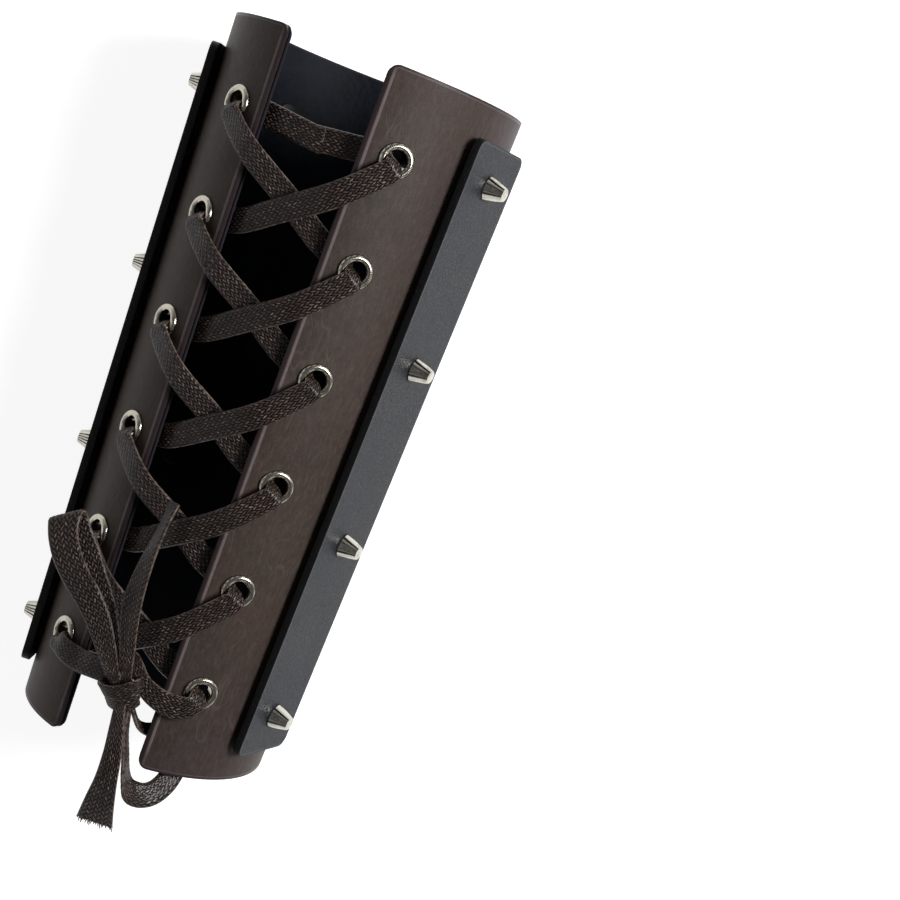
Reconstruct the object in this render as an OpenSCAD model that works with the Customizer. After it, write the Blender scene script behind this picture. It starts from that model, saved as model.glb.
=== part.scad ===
// Laced forearm bracer with five riveted splints.
// Drawn upright with the wrist rim at z = 0 and the laced opening facing -Y,
// then laid on its back so that it rests on two of its splints.
// Angles on the shell are measured from the middle of the opening, positive to
// the right as seen from outside.

/* [Shell] */
// Length from the wrist rim to the elbow rim
shell_len = 240; // [200:1:280]
// Outer radius at the wrist rim
wrist_r = 43; // [41:0.5:47]
// Outer radius at the elbow rim
elbow_r = 50.5; // [48:0.5:58]
// Thickness of the brown outer leather
leather_t = 1.8; // [1.2:0.1:2.6]
// Thickness of the dark lining
lining_t = 1; // [0.6:0.1:1.6]
// Angle from the middle of the opening to a flap's edge
gap_half_angle = 20; // [16:0.5:24]
// Radius of the flaps' corners
flap_corner_r = 3.5; // [2:0.5:8]

/* [Flex line] */
// Width of the slit along which the right half of the shell flexes
flex_slit = 0.8; // [0.7:0.05:0.95]

/* [Splints] */
// Angle from one splint to the next
splint_pitch = 51; // [48:0.5:53]
// Width of a splint at its wrist end
splint_w_wrist = 31; // [24:0.5:33]
// Width of a splint at its elbow end
splint_w_elbow = 35.5; // [28:0.5:38]
// Thickness of a splint
splint_t = 2.6; // [1.8:0.1:3.4]
// Shell left bare between each end of a splint and the rim
splint_margin = 11; // [6:0.5:20]
// Radius of a splint's corners
splint_corner_r = 3.5; // [1.5:0.5:8]

/* [Studs] */
// Studs on each splint
stud_count = 4; // [2:1:5]
// Distance from a splint's end to its first stud
stud_inset = 13.6; // [10:0.2:22]
// Radius of a stud where it sits on the splint
stud_base_r = 4.4; // [3.6:0.1:5.5]
// Radius of a stud's flat tip
stud_tip_r = 2.3; // [1.6:0.1:3.2]
// Height of a stud
stud_h = 6.2; // [5:0.1:9]
// Radius of the screw that holds a stud
screw_r = 1.5; // [1:0.1:1.8]
// Radius of the screw's flat head inside the bracer
screw_head_r = 4.8; // [3.5:0.1:6]
// Thickness of the screw's head
screw_head_t = 1; // [0.6:0.1:1.6]
// Length of screw inside the stud
screw_grip = 3; // [2:0.1:4]
// Bevel around a stud's base and tip
stud_bevel = 0.3; // [0.1:0.05:0.5]

/* [Eyelets] */
// Eyelets along each flap
eyelet_rows = 6; // [4:1:6]
// Height of the lowest eyelets above the wrist rim
eyelet_z = 30; // [26:0.5:34]
// Distance from one row of eyelets to the next
eyelet_pitch = 36.5; // [30:0.5:38]
// Distance from a flap's edge to the eyelets' middle, along the leather
eyelet_inset = 12; // [10:0.5:15]
// Radius of the hole that the lace runs through
eyelet_bore_r = 3.4; // [3.2:0.1:3.8]
// Wall of an eyelet's barrel
eyelet_wall = 0.4; // [0.3:0.05:0.6]
// Outer radius of an eyelet's rolled rim
eyelet_rim_r = 5.8; // [5.2:0.1:6.6]
// Height of the rolled rim above the leather
eyelet_rim_h = 1.2; // [0.8:0.1:1.3]
// Outer radius of the washer inside the flap
washer_r = 5.6; // [5:0.1:6.4]
// Thickness of the washer
washer_t = 0.4; // [0.3:0.05:0.5]
// Thickness of the barrel's end, rolled over the washer
clinch_t = 0.5; // [0.3:0.05:0.6]
// Outer radius of the barrel's rolled end
clinch_r = 4.6; // [4.4:0.1:5]

/* [Lace] */
// Width of the flat braided lace
lace_w = 8.2; // [6:0.2:8.6]
// Thickness of the lace
lace_t = 1.6; // [1:0.1:1.7]
// Width of the lace where an eyelet gathers it
lace_gathered_w = 5.2; // [4:0.1:5.4]
// Thickness of the gathered lace
lace_gathered_t = 2; // [1.4:0.1:2.2]
// How far the crossing strands pass above and below their mean line
cross_lift = 1.15; // [1:0.05:1.5]
// How far the strands from the left eyelets bow towards the wrist
bow_left = 4.5; // [2:0.5:6]
// How far the strands from the right eyelets bow towards the wrist
bow_right = 8; // [4:0.5:9]
// Angle below the level at which the lace leaves an eyelet
leave_angle = 62; // [40:1:70]

/* [Clearances] */
// Layer of glue between shell and lining
glue_gap = 0.05; // [0.02:0.01:0.1]
// Gap under a piece that is pressed onto the leather
seat_gap = 0.05; // [0.02:0.01:0.1]
// Gap around a screw or barrel in its hole
hole_gap = 0.15; // [0.1:0.05:0.3]
// Gap between the lace and what it lies on
lace_gap = 0.5; // [0.3:0.05:0.7]
// Gap between a screw's thread and the stud, all round and at its end
thread_gap = 0.05; // [0.02:0.01:0.1]

/* [Hidden] */
$fn = 64;
shell_facets = 180;
knot_facets = 20;

brown = [0.28, 0.22, 0.20];
navy = [0.10, 0.12, 0.16];
black = [0.16, 0.17, 0.20];
nickel = [0.62, 0.61, 0.58];
braid = [0.27, 0.22, 0.20];

wall_t = leather_t + glue_gap + lining_t;
slope = (elbow_r - wrist_r) / shell_len;
taper = atan(slope);
flex_angle = 180 - splint_pitch / 2;
cutter_h = 16;
splint_len = shell_len - 2 * splint_margin;
stud_pitch = (splint_len - 2 * stud_inset) / (stud_count - 1);
stud_seat = seat_gap + splint_t + seat_gap;
barrel_r = eyelet_bore_r + eyelet_wall;
eyelet_tops = [for (i = [0:eyelet_rows - 1]) eyelet_z + i * eyelet_pitch];
stud_tops = [for (i = [0:stud_count - 1]) splint_margin + stud_inset + i * stud_pitch];

// Outer radius of the shell at a height
function shell_r(z) = wrist_r + slope * z;

// How far a flat disc of radius r keeps off the hollow side of the lining
function sagitta(r, z) = r * r / (2 * (shell_r(z) - wall_t)) + seat_gap;

// Angle at which the eyelet at height z sits
function eyelet_angle(z) = gap_half_angle + eyelet_inset / shell_r(z) * 180 / PI;

// Point at an angle and height on the shell, lifted by h off its outer face
function on_shell(a, z, h) =
    let (r = shell_r(z) + h * cos(taper))
    [r * sin(a), -r * cos(a), z - h * sin(taper)];

// Unit vector up the shell's face, towards the elbow, at an angle
function up_shell(a) = [sin(taper) * sin(a), -sin(taper) * cos(a), cos(taper)];

// Lean of a splint's long edges, and the middles of its corners' arcs
lean = atan((splint_w_elbow - splint_w_wrist) / 2 / splint_len);
corner_low = [splint_w_wrist / 2 + splint_corner_r * (tan(lean) - 1 / cos(lean)),
    splint_corner_r];
corner_high = [splint_w_elbow / 2 - splint_corner_r * (tan(lean) + 1 / cos(lean)),
    splint_len - splint_corner_r];

// Lowest point of a splint's rounded corner as the bracer lies, before it is
// tilted: [distance along the axis, depth under it]
function lying(corner) = [
    splint_margin + corner[1] * cos(taper) - (seat_gap + splint_t) * sin(taper),
    (shell_r(splint_margin) + corner[1] * sin(taper)
        + (seat_gap + splint_t) * cos(taper)) * cos(roll)
        + (corner[0] + splint_corner_r) * sin(roll)
];

// The bracer lies with the opening rolled to one side, on the inner corners of
// two splints; the studs at the wrist hang just clear of the floor
roll = splint_pitch / 2;
rest_step = lying(corner_high) - lying(corner_low);
pitch = atan(rest_step[1] / rest_step[0]);
lay_z = lying(corner_low)[1] * cos(pitch) - lying(corner_low)[0] * sin(pitch);
lay_y = -(shell_len * cos(pitch) + (elbow_r - wrist_r) * sin(pitch)) / 2;

// Lays the upright bracer on the floor, wrist towards -Y
module laid() {
    translate([0, lay_y, lay_z]) rotate([pitch - 90, 0, 0]) rotate([0, 0, -roll])
        children();
}

// Places children on the shell's outer face, +Z outwards and +Y to the elbow
module at_shell(a, z) {
    rotate([0, 0, a]) translate([0, -shell_r(z), z]) rotate([90 + taper, 0, 0])
        children();
}

// Part of a conical layer between two depths below the outer face
module layer(depth_out, depth_in, a_from, a_to) {
    rotate([0, 0, a_from - 90])
        rotate_extrude(angle = a_to - a_from, $fn = shell_facets)
            polygon([
                [wrist_r - depth_in, 0], [wrist_r - depth_out, 0],
                [elbow_r - depth_out, shell_len], [elbow_r - depth_in, shell_len]
            ]);
}

// Cuts the square corner off a flap; side is -1 for left and 1 for right
module corner_cut(side, z, up) {
    r = flap_corner_r;
    beyond = 3;
    at_shell(side * gap_half_angle, z) mirror([side < 0 ? 1 : 0, 0, 0])
        mirror([0, up ? 1 : 0, 0])
            linear_extrude(cutter_h, center = true) difference() {
                translate([-beyond, -beyond]) square(r + beyond);
                translate([r, r]) circle(r);
            }
}

// Round holes through the wall, one at each height of the list
module holes(a_list, z_list, r) {
    for (i = [0:len(z_list) - 1])
        at_shell(a_list[i], z_list[i]) cylinder(h = cutter_h, r = r, center = true);
}

// One half of the wall with all its holes; side is -1 for left and 1 for right
module wall_half(side, depth_out, depth_in) {
    r_mid = (wrist_r + elbow_r) / 2 - wall_t / 2;
    slit_angle = flex_slit / 2 / r_mid * 180 / PI;
    a_from = side < 0 ? flex_angle + slit_angle : gap_half_angle;
    a_to = side < 0 ? 360 - gap_half_angle : flex_angle - slit_angle;
    splint_angles = side < 0 ? [180, 180 + splint_pitch, 180 + 2 * splint_pitch]
        : [180 - splint_pitch, 180 - 2 * splint_pitch];
    difference() {
        layer(depth_out, depth_in, a_from, a_to);
        corner_cut(side, 0, false);
        corner_cut(side, shell_len, true);
        holes([for (z = eyelet_tops) side * eyelet_angle(z)], eyelet_tops,
            barrel_r + hole_gap);
        for (a = splint_angles)
            holes([for (z = stud_tops) a], stud_tops, screw_r + hole_gap);
    }
}

module shell_half(side) {
    color(brown) laid() wall_half(side, 0, leather_t);
}

module lining_half(side) {
    color(navy) laid() wall_half(side, leather_t + glue_gap, wall_t);
}

// Outline of a splint, wrist end at y = 0, with its corners rounded
module splint_outline() {
    out = splint_corner_r * [cos(lean), -sin(lean)];
    right = [
        [corner_low[0], 0], corner_low + out, corner_high + out,
        [corner_high[0], splint_len]
    ];
    left = [for (i = [3:-1:0]) [-right[i][0], right[i][1]]];
    polygon(concat(right, left));
    for (p = [corner_low, corner_high], side = [-1, 1])
        translate([side * p[0], p[1]]) circle(splint_corner_r);
}

// Flat splint that touches the shell along its middle
module splint(a) {
    color(black) laid() at_shell(a, splint_margin) translate([0, 0, seat_gap])
        linear_extrude(splint_t) difference() {
            splint_outline();
            for (z = stud_tops)
                translate([0, (z - splint_margin) / cos(taper)])
                    circle(screw_r + hole_gap);
        }
}

// Cone stud with a blind threaded hole, sitting on z = 0
module stud() {
    hole_depth = screw_grip + thread_gap;
    hole_r = screw_r + thread_gap;
    rotate_extrude()
        polygon([
            [hole_r, 0], [stud_base_r - stud_bevel, 0], [stud_base_r, stud_bevel],
            [stud_tip_r, stud_h - stud_bevel], [stud_tip_r - stud_bevel, stud_h],
            [0, stud_h], [0, hole_depth], [hole_r, hole_depth]
        ]);
}

module studs(a) {
    color(nickel) laid() for (z = stud_tops)
        at_shell(a, z) translate([0, 0, stud_seat]) stud();
}

// Flat-headed screw from inside the lining up into the stud
module screws(a) {
    color(nickel) laid() for (z = stud_tops) {
        under = -wall_t - sagitta(screw_head_r, z);
        at_shell(a, z) {
            translate([0, 0, under - screw_head_t])
                cylinder(h = screw_head_t, r = screw_head_r);
            translate([0, 0, under]) cylinder(h = stud_seat + screw_grip - under, r = screw_r);
        }
    }
}

// Barrel with a rolled rim outside and a flat clinch inside; depth is the
// distance from the leather's face down to the washer's underside
module eyelet(depth) {
    rim_mid = (barrel_r + eyelet_rim_r) / 2;
    rim_half = (eyelet_rim_r - barrel_r) / 2;
    rotate_extrude() {
        translate([eyelet_bore_r, -depth - clinch_t])
            square([eyelet_wall, depth + clinch_t + eyelet_rim_h / 2]);
        translate([eyelet_bore_r, -depth - clinch_t])
            square([clinch_r - eyelet_bore_r, clinch_t]);
        intersection() {
            translate([eyelet_bore_r, seat_gap])
                square([eyelet_rim_r, eyelet_rim_h]);
            translate([rim_mid - eyelet_wall / 2, 0])
                circle(r = rim_half + eyelet_wall / 2);
        }
    }
}

// Depth of the washer's underside below the leather's face
function washer_low(z) = wall_t + sagitta(washer_r, z) + washer_t;

module eyelets(side) {
    color(nickel) laid() for (z = eyelet_tops)
        at_shell(side * eyelet_angle(z), z) eyelet(washer_low(z) + seat_gap);
}

module washers(side) {
    color(nickel) laid() for (z = eyelet_tops)
        at_shell(side * eyelet_angle(z), z) translate([0, 0, -washer_low(z)])
            linear_extrude(washer_t) difference() {
                circle(washer_r);
                circle(barrel_r + seat_gap);
            }
}

// The lace is swept along control points: [place, width direction, width, thickness]
function unit(v) = v / norm(v);

// Catmull-Rom value between b and c at t
function between(a, b, c, d, t) =
    0.5 * (2 * b + (c - a) * t + (2 * a - 5 * b + 4 * c - d) * t * t
        + (3 * b - a - 3 * c + d) * t * t * t);

// Control points with extra ones set smoothly between them
function smoothed(path, steps) =
    let (n = len(path))
    [for (i = [0:n - 2]) for (k = [0:(i == n - 2 ? steps : steps - 1)])
        let (a = path[max(i - 1, 0)], b = path[i], c = path[i + 1],
            d = path[min(i + 2, n - 1)])
        [for (j = [0:3]) between(a[j], b[j], c[j], d[j], k / steps)]];

// Eight-sided flat section, as [share of width, share of thickness]
section = [
    [0.5, 0.2], [0.4, 0.5], [-0.4, 0.5], [-0.5, 0.2],
    [-0.5, -0.2], [-0.4, -0.5], [0.4, -0.5], [0.5, -0.2]
];

function ring(path, i) =
    let (n = len(path), p = path[i][0],
        along = unit(path[min(i + 1, n - 1)][0] - path[max(i - 1, 0)][0]),
        thick = unit(cross(path[i][1], along)), wide = cross(along, thick))
    [for (s = section) p + wide * s[0] * path[i][2] + thick * s[1] * path[i][3]];

module ribbon(path, steps) {
    fine = smoothed(path, steps);
    n = len(fine);
    m = len(section);
    points = [for (i = [0:n - 1]) each ring(fine, i)];
    sides = [for (i = [0:n - 2], j = [0:m - 1])
        let (a = i * m + j, b = i * m + (j + 1) % m, c = a + m, d = b + m)
        each [[a, b, c], [b, d, c]]];
    start = [for (j = [1:m - 2]) [0, j + 1, j]];
    end = [for (j = [1:m - 2]) [(n - 1) * m, (n - 1) * m + j, (n - 1) * m + j + 1]];
    polyhedron(points = points, faces = concat(sides, start, end));
}

// Heights of the lace's middle line over the leather's face: lying outside, at a
// flap's edge outside, in the leather, at a flap's edge inside and lying inside
out_h = eyelet_rim_h + lace_gap + lace_t / 2;
out_edge_h = lace_gap + lace_t;
mid_h = -wall_t / 2;
under_edge_h = -(wall_t + lace_gap + lace_t);
under_h = -(washer_low(eyelet_z) + seat_gap + clinch_t + lace_gap + lace_t / 2);
// How far the lace has gone from an eyelet's middle where it turns and where it lies
turn_shift = 1.4;
lie_shift = 5;
// How much closer to the leather it is where it turns
turn_dip = 0.5;
// Shares of a strand's bow at the near and the far flap's edge
near_bow = 0.9;
far_bow = 0.85;

// Distance along the leather from one flap's eyelet to the other's
function across(z) = 2 * eyelet_inset + 2 * shell_r(z) * gap_half_angle * PI / 180;

// Point at a distance towards the opening and down from the eyelet of side s
function by_eyelet(s, z, d, down, h) =
    on_shell(s * (eyelet_angle(z) - d / shell_r(z) * 180 / PI), z - down, h);

// Width direction at an angle, for a strand from side s that runs along
// [across the opening, down]
function wide(s, a, run) = run[0] * up_shell(a) - s * run[1] * [cos(a), sin(a), 0];

// Control point in the hole of the eyelet of side s
function hole_point(s, z, w) =
    [on_shell(s * eyelet_angle(z), z, mid_h), w, lace_gathered_w, lace_gathered_t];

// Control points where the lace turns out of the hole and where it lies, on its
// way along [towards the opening, down]
function turn_point(s, z, way, h, dip, w) =
    [by_eyelet(s, z, turn_shift * way[0], turn_shift * way[1], h + dip), w,
        lace_gathered_w, lace_gathered_t];
function lie_point(s, z, way, h, w) =
    [by_eyelet(s, z, lie_shift * way[0], lie_shift * way[1], h), w, lace_w, lace_t];

// Strand from the eyelet of side s at row i to the other side's eyelet below it:
// steeply out of its hole, over the opening with a bow towards the wrist, and
// under the other flap to the hole there
function strand(s, i) =
    let (z1 = eyelet_tops[i], z2 = eyelet_tops[i - 1], drop = z1 - z2,
        bow = s > 0 ? bow_right : bow_left,
        slant = unit([across(z1), drop]),
        past = eyelet_inset + lace_w / 2 * slant[1],
        edge_angle = gap_half_angle,
        leave = [cos(leave_angle), sin(leave_angle)],
        rise = drop * past / across(z2) - far_bow * bow,
        arrive = unit([past, rise]),
        w1 = wide(s, s * eyelet_angle(z1), leave),
        w2 = wide(s, s * edge_angle, slant),
        w3 = wide(s, -s * edge_angle, unit(slant + arrive)),
        w4 = wide(s, -s * eyelet_angle(z2), arrive),
        edge1 = by_eyelet(s, z1, past, drop * past / across(z1) + near_bow * bow, out_edge_h),
        edge2 = by_eyelet(-s, z2, past, -rise, under_edge_h),
        middle = [0, (edge1[1] + edge2[1]) / 2 + (s > 0 ? -cross_lift : cross_lift),
            (z1 + z2) / 2 - bow])
    [
        hole_point(s, z1, w1),
        turn_point(s, z1, leave, out_h, -turn_dip, w1),
        lie_point(s, z1, leave, out_h, w1),
        [edge1, w2, lace_w, lace_t],
        [middle, w2 + w3, lace_w, lace_t],
        [edge2, w3, lace_w, lace_t],
        lie_point(-s, z2, [arrive[0], -arrive[1]], under_h, w4),
        turn_point(-s, z2, [arrive[0], -arrive[1]], under_h, turn_dip, w4)
    ];

// Zigzag that starts at the top eyelet of side s and ends in the lowest row
function zigzag(s) = [for (k = [0:eyelet_rows - 2])
    each strand(k % 2 == 0 ? s : -s, eyelet_rows - 1 - k)];

// Half of the bar that joins the top eyelets inside the flaps
function bar(s) =
    let (z = eyelet_tops[eyelet_rows - 1], w = up_shell(s * eyelet_angle(z)))
    [lie_point(s, z, [1, 0], under_h, w), turn_point(s, z, [1, 0], under_h, turn_dip, w)];

// Middle of the bar, which sags a little towards the wrist
bar_sag = 2;
bar_middle = let (z = eyelet_tops[eyelet_rows - 1])
    [[0, -(shell_r(z) + under_edge_h) * cos(gap_half_angle), z - bar_sag], [0, 0, 1],
        lace_w, lace_t];

// Where the lace leaves the lowest eyelet of side s for the knot
function last_hole(s) =
    let (z = eyelet_tops[0], leave = [cos(leave_angle), sin(leave_angle)],
        w = wide(s, s * eyelet_angle(z), leave))
    [hole_point(s, z, w), turn_point(s, z, leave, out_h, -turn_dip, w)];

// The bow was drawn for this shell radius and height at the lowest eyelets, and
// goes with them
bow_r = 43.9375;
bow_z = 30;
function bow_point(p) =
    let (k = shell_r(eyelet_z) / bow_r) [p[0] * k, p[1] * k, p[2] + eyelet_z - bow_z];

// Routes of the bow, chosen by hand: [x, y, z], width direction, width factor
knot_at = [4, -47.5, 25.5];
left_end = [
    [[-23.8, -40.8, 27.6], [0.3, -0.2, 0.9], 0.9], [[-20, -42.4, 26.6], [0.2, -0.1, 1], 1],
    [[-15, -43.5, 26.2], [0.1, 0, 1], 1], [[-9.5, -45.6, 26.8], [0, 0, 1], 0.9],
    [[-5.2, -46.6, 27.8], [-0.1, 0, 1], 0.7]
];
right_end = [
    [[25.3, -39.7, 25.7], [-0.5, -0.3, 0.8], 0.9], [[22.3, -41.4, 24.9], [-0.2, -0.1, 1], 1],
    [[18.2, -43.2, 25.2], [0.1, 0, 1], 1], [[14.2, -45.5, 26.7], [0.3, 0, 0.95], 0.9],
    [[11.4, -46.6, 28.4], [0.4, 0, 0.9], 0.7]
];
loop_left_route = [
    [[2, -49.4, 30], [0.8, 0, 0.5], 0.5], [[-0.9, -52.4, 34.4], [0.8, 0.1, 0.5], 0.6],
    [[-5.4, -54.5, 40.5], [0.8, 0.1, 0.6], 0.9], [[-11.8, -56, 47.5], [0.75, 0.1, 0.65], 1],
    [[-19.6, -56, 55.1], [0.75, 0.15, 0.65], 1], [[-26.3, -55.5, 61.7], [0.8, 0.2, 0.6], 1],
    [[-31.5, -53.5, 67.1], [0.8, 0.2, 0.55], 1], [[-33.6, -50.2, 70.2], [0.8, 0.2, 0.55], 1],
    [[-30.8, -47.4, 69.8], [0.8, 0.2, 0.55], 1], [[-25, -47.2, 64.7], [0.75, 0.15, 0.6], 1],
    [[-18.4, -48.2, 58], [0.75, 0.1, 0.65], 1], [[-12.1, -48.8, 51.1], [0.75, 0.1, 0.65], 1],
    [[-6.9, -48.6, 43.6], [0.8, 0, 0.6], 0.9], [[-2.6, -48.2, 37.2], [0.8, 0, 0.6], 0.7],
    [[1.2, -46.8, 30.3], [0.8, 0, 0.5], 0.5]
];
loop_down_route = [
    [[8, -47.3, 19.9], [0.2, -1, 0], 0.35], [[9.6, -47, 12], [0.2, -1, 0], 0.6],
    [[11.9, -46.4, 4.8], [0.2, -1, 0], 0.8], [[14.1, -45.2, -2.6], [0.2, -0.95, -0.3], 0.9],
    [[16.4, -43.2, -7.2], [0.2, -0.6, -0.8], 1], [[19.8, -39.8, -8.4], [0.35, -0.2, -0.9], 1],
    [[22.6, -35.8, -6.8], [0.6, 0.1, -0.75], 1], [[24, -31, -2.6], [0.75, 0.5, -0.3], 1],
    [[23.4, -27.8, 3], [0.75, 0.65, 0.1], 1], [[20.8, -26.8, 8], [0.5, 0.75, 0.45], 0.9],
    [[16.4, -29.8, 10.4], [-0.2, 0.6, 0.8], 0.8], [[12.2, -35.2, 11], [-0.6, 0.65, 0.45], 0.65],
    [[10.2, -40.2, 13.6], [-0.65, 0.65, 0.4], 0.55], [[8.4, -45, 19], [-0.65, 0.65, 0.4], 0.5]
];
tail_up_route = [
    [[5.5, -51, 30.8], [1, 0, 0], 0.45], [[3.8, -52.2, 38.2], [1, 0, 0], 0.6],
    [[2.2, -53, 45.4], [0.95, -0.2, 0], 0.8], [[1.2, -53.4, 55.5], [0.8, -0.6, 0], 0.9],
    [[1.1, -53.4, 68.5], [0.6, -0.8, 0], 1], [[1.7, -53.2, 79], [0.45, -0.9, 0], 1],
    [[1.4, -52.4, 88], [0.4, -0.9, 0], 1]
];
tail_down_route = [
    [[6, -49.8, 19.3], [1, 0, 0.2], 0.5], [[7.8, -51, 12.6], [1, 0, 0.2], 0.65],
    [[9.6, -52, 4.9], [1, 0.1, 0.1], 0.77], [[10.3, -51.3, -4], [1, 0.1, 0], 0.95],
    [[10.1, -49.2, -12.7], [1, 0.15, 0], 1.25], [[9.7, -46.2, -20.2], [1, 0.2, 0], 1.5]
];

// A hand-made route as control points of the full lace
function routed(route) =
    [for (p = route) [bow_point(p[0]), p[1], lace_w * p[2], lace_t]];

function reversed(list) = [for (i = [len(list) - 1:-1:0]) list[i]];

// From the middle of the bar down one zigzag to the knot
function half_lacing(s) =
    let (last = eyelet_rows % 2 == 1 ? s : -s)
    concat(bar(s), zigzag(s), last_hole(last), routed(last < 0 ? left_end : right_end));

module lace_lacing() {
    color(braid) laid()
        ribbon(concat(reversed(half_lacing(-1)), [bar_middle], half_lacing(1)), 2);
}

// The knot: rounded turns of the lace pulled tight around the ends
module lace_knot() {
    turn_r = 2.5;
    tilt = 25;
    band = [4.8, 0, 2.2];
    foot = [2, -0.6, -3.6];
    color(braid) laid() translate(bow_point(knot_at)) rotate([0, -tilt, 0])
        hull($fn = knot_facets) for (p = [band, foot], side = [-1, 1])
            translate([side * p[0], p[1], p[2]]) sphere(turn_r);
}

module free_lace(route, steps) {
    color(braid) laid() ribbon(routed(route), steps);
}

shell_half(-1);  // shell_left
shell_half(1);  // shell_right
lining_half(-1);  // lining_left
lining_half(1);  // lining_right
splint(180);  // splint_back
splint(180 + splint_pitch);  // splint_left_inner
splint(180 + 2 * splint_pitch);  // splint_left_outer
splint(180 - splint_pitch);  // splint_right_inner
splint(180 - 2 * splint_pitch);  // splint_right_outer
studs(180);  // studs_back
studs(180 + splint_pitch);  // studs_left_inner
studs(180 + 2 * splint_pitch);  // studs_left_outer
studs(180 - splint_pitch);  // studs_right_inner
studs(180 - 2 * splint_pitch);  // studs_right_outer
screws(180);  // screws_back
screws(180 + splint_pitch);  // screws_left_inner
screws(180 + 2 * splint_pitch);  // screws_left_outer
screws(180 - splint_pitch);  // screws_right_inner
screws(180 - 2 * splint_pitch);  // screws_right_outer
eyelets(-1);  // eyelets_left
eyelets(1);  // eyelets_right
washers(-1);  // washers_left
washers(1);  // washers_right
lace_lacing();
lace_knot();
free_lace(loop_left_route, 2);  // lace_loop_left
free_lace(loop_down_route, 2);  // lace_loop_down
free_lace(tail_up_route, 2);  // lace_tail_up
free_lace(tail_down_route, 2);  // lace_tail_down
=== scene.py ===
import math
import bmesh
import bpy
import numpy as np
from mathutils import Matrix, Vector


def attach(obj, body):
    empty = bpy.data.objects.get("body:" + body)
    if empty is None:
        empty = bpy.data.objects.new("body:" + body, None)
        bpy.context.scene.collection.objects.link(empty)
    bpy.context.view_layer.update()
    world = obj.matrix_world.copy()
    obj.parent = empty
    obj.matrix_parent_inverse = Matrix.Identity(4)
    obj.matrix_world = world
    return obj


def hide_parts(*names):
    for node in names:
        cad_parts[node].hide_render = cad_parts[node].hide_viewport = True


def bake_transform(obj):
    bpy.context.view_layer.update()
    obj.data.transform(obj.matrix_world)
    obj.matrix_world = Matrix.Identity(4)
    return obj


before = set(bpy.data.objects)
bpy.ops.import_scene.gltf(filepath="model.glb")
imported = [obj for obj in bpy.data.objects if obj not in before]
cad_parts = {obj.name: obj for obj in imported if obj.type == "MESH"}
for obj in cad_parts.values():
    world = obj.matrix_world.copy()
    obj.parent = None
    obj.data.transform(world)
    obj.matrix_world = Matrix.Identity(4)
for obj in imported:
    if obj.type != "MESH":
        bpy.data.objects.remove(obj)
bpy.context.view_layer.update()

mm = 0.001
scene = bpy.context.scene

# the leather tube in mm, drawn upright with the laced opening facing -Y
tube = {
    "length": 240.0,
    "wristRadius": 43.0,
    "elbowRadius": 50.5,
    "gapHalfAngle": 20.0,
    "cornerRadius": 3.5,
    "leather": 1.8,
    "glue": 0.05,
    "lining": 1.0,
    "seatGap": 0.05,
    "splintAngle": 51.0,
    "edgeReach": 2.4,
    "edgeDrop": 0.8,
    "edgeEase": 0.98,
}
# how the upright tube is laid down on the floor
laying = {"roll": 25.5, "pitch": 1.8701177, "moveY": -120.0584618, "moveZ": 47.80302}

# how sheets and fasteners are rounded and shaded, angles in degrees
rounding = {"segments": 3, "bevelAbove": 50, "sheetSharp": 60, "turnedSharp": 32, "weld": 1e-7}

slope = (tube["elbowRadius"] - tube["wristRadius"]) / tube["length"]
taper = math.atan(slope)
wall = tube["leather"] + tube["glue"] + tube["lining"]
layTurn = (
    Matrix.Rotation(math.radians(laying["pitch"] - 90), 3, "X")
    @ Matrix.Rotation(math.radians(-laying["roll"]), 3, "Z")
)
layMatrix = (
    Matrix.Translation(Vector((0, laying["moveY"], laying["moveZ"])) * mm)
    @ layTurn.to_4x4()
    @ Matrix.Scale(mm, 4)
)


def laid(p):
    return layMatrix @ Vector(p)


def radiusAt(z):
    return tube["wristRadius"] + slope * z


def onShell(angle, z, h=0.0):  # a point on the tube's face, degrees from the opening's middle
    r = radiusAt(z) + h * math.cos(taper)
    a = math.radians(angle)
    return Vector((r * math.sin(a), -r * math.cos(a), z - h * math.sin(taper)))


def upShell(angle):
    a = math.radians(angle)
    return Vector((math.sin(taper) * math.sin(a), -math.sin(taper) * math.cos(a), math.cos(taper)))


def outShell(angle):
    a = math.radians(angle)
    return Vector((math.cos(taper) * math.sin(a), -math.cos(taper) * math.cos(a), -math.sin(taper)))


def placeAt(angle, z):  # x sideways, y towards the elbow, z outwards
    out, up = outShell(angle), upShell(angle)
    spot = Matrix((up.cross(out), up, out)).transposed().to_4x4()
    spot.translation = onShell(angle, z)
    return spot


axisMiddle = laid((0, 0, tube["length"] / 2))


# node helpers: a Wire is a node's output that can be used in sums
class Wire:
    def __init__(self, tree, socket):
        self.tree = tree
        self.socket = socket

    __add__ = __radd__ = lambda self, other: calc("ADD", self, other)
    __mul__ = __rmul__ = lambda self, other: calc("MULTIPLY", self, other)
    __sub__ = lambda self, other: calc("SUBTRACT", self, other)
    __rsub__ = lambda self, other: calc("SUBTRACT", other, self)
    __truediv__ = lambda self, other: calc("DIVIDE", self, other)


def plug(tree, socket, value):
    if isinstance(value, Wire):
        tree.links.new(value.socket, socket)
    else:
        socket.default_value = value


def addNode(tree, kind, inputs=None, **settings):
    made = tree.nodes.new(kind)
    for key, value in settings.items():
        setattr(made, key, value)
    for key, value in (inputs or {}).items():
        plug(tree, made.inputs[key], value)
    return made


def output(made, key=0):
    return Wire(made.id_data, made.outputs[key])


def fromNode(tree, kind, inputs=None, key=0, **settings):
    return output(addNode(tree, kind, inputs, **settings), key)


def mathNode(kind, values, **settings):
    tree = next(v.tree for v in values if isinstance(v, Wire))
    return fromNode(tree, kind, dict(enumerate(values)), **settings)


def calc(operation, *values, clamp=False):
    return mathNode("ShaderNodeMath", values, operation=operation, use_clamp=clamp)


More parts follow.
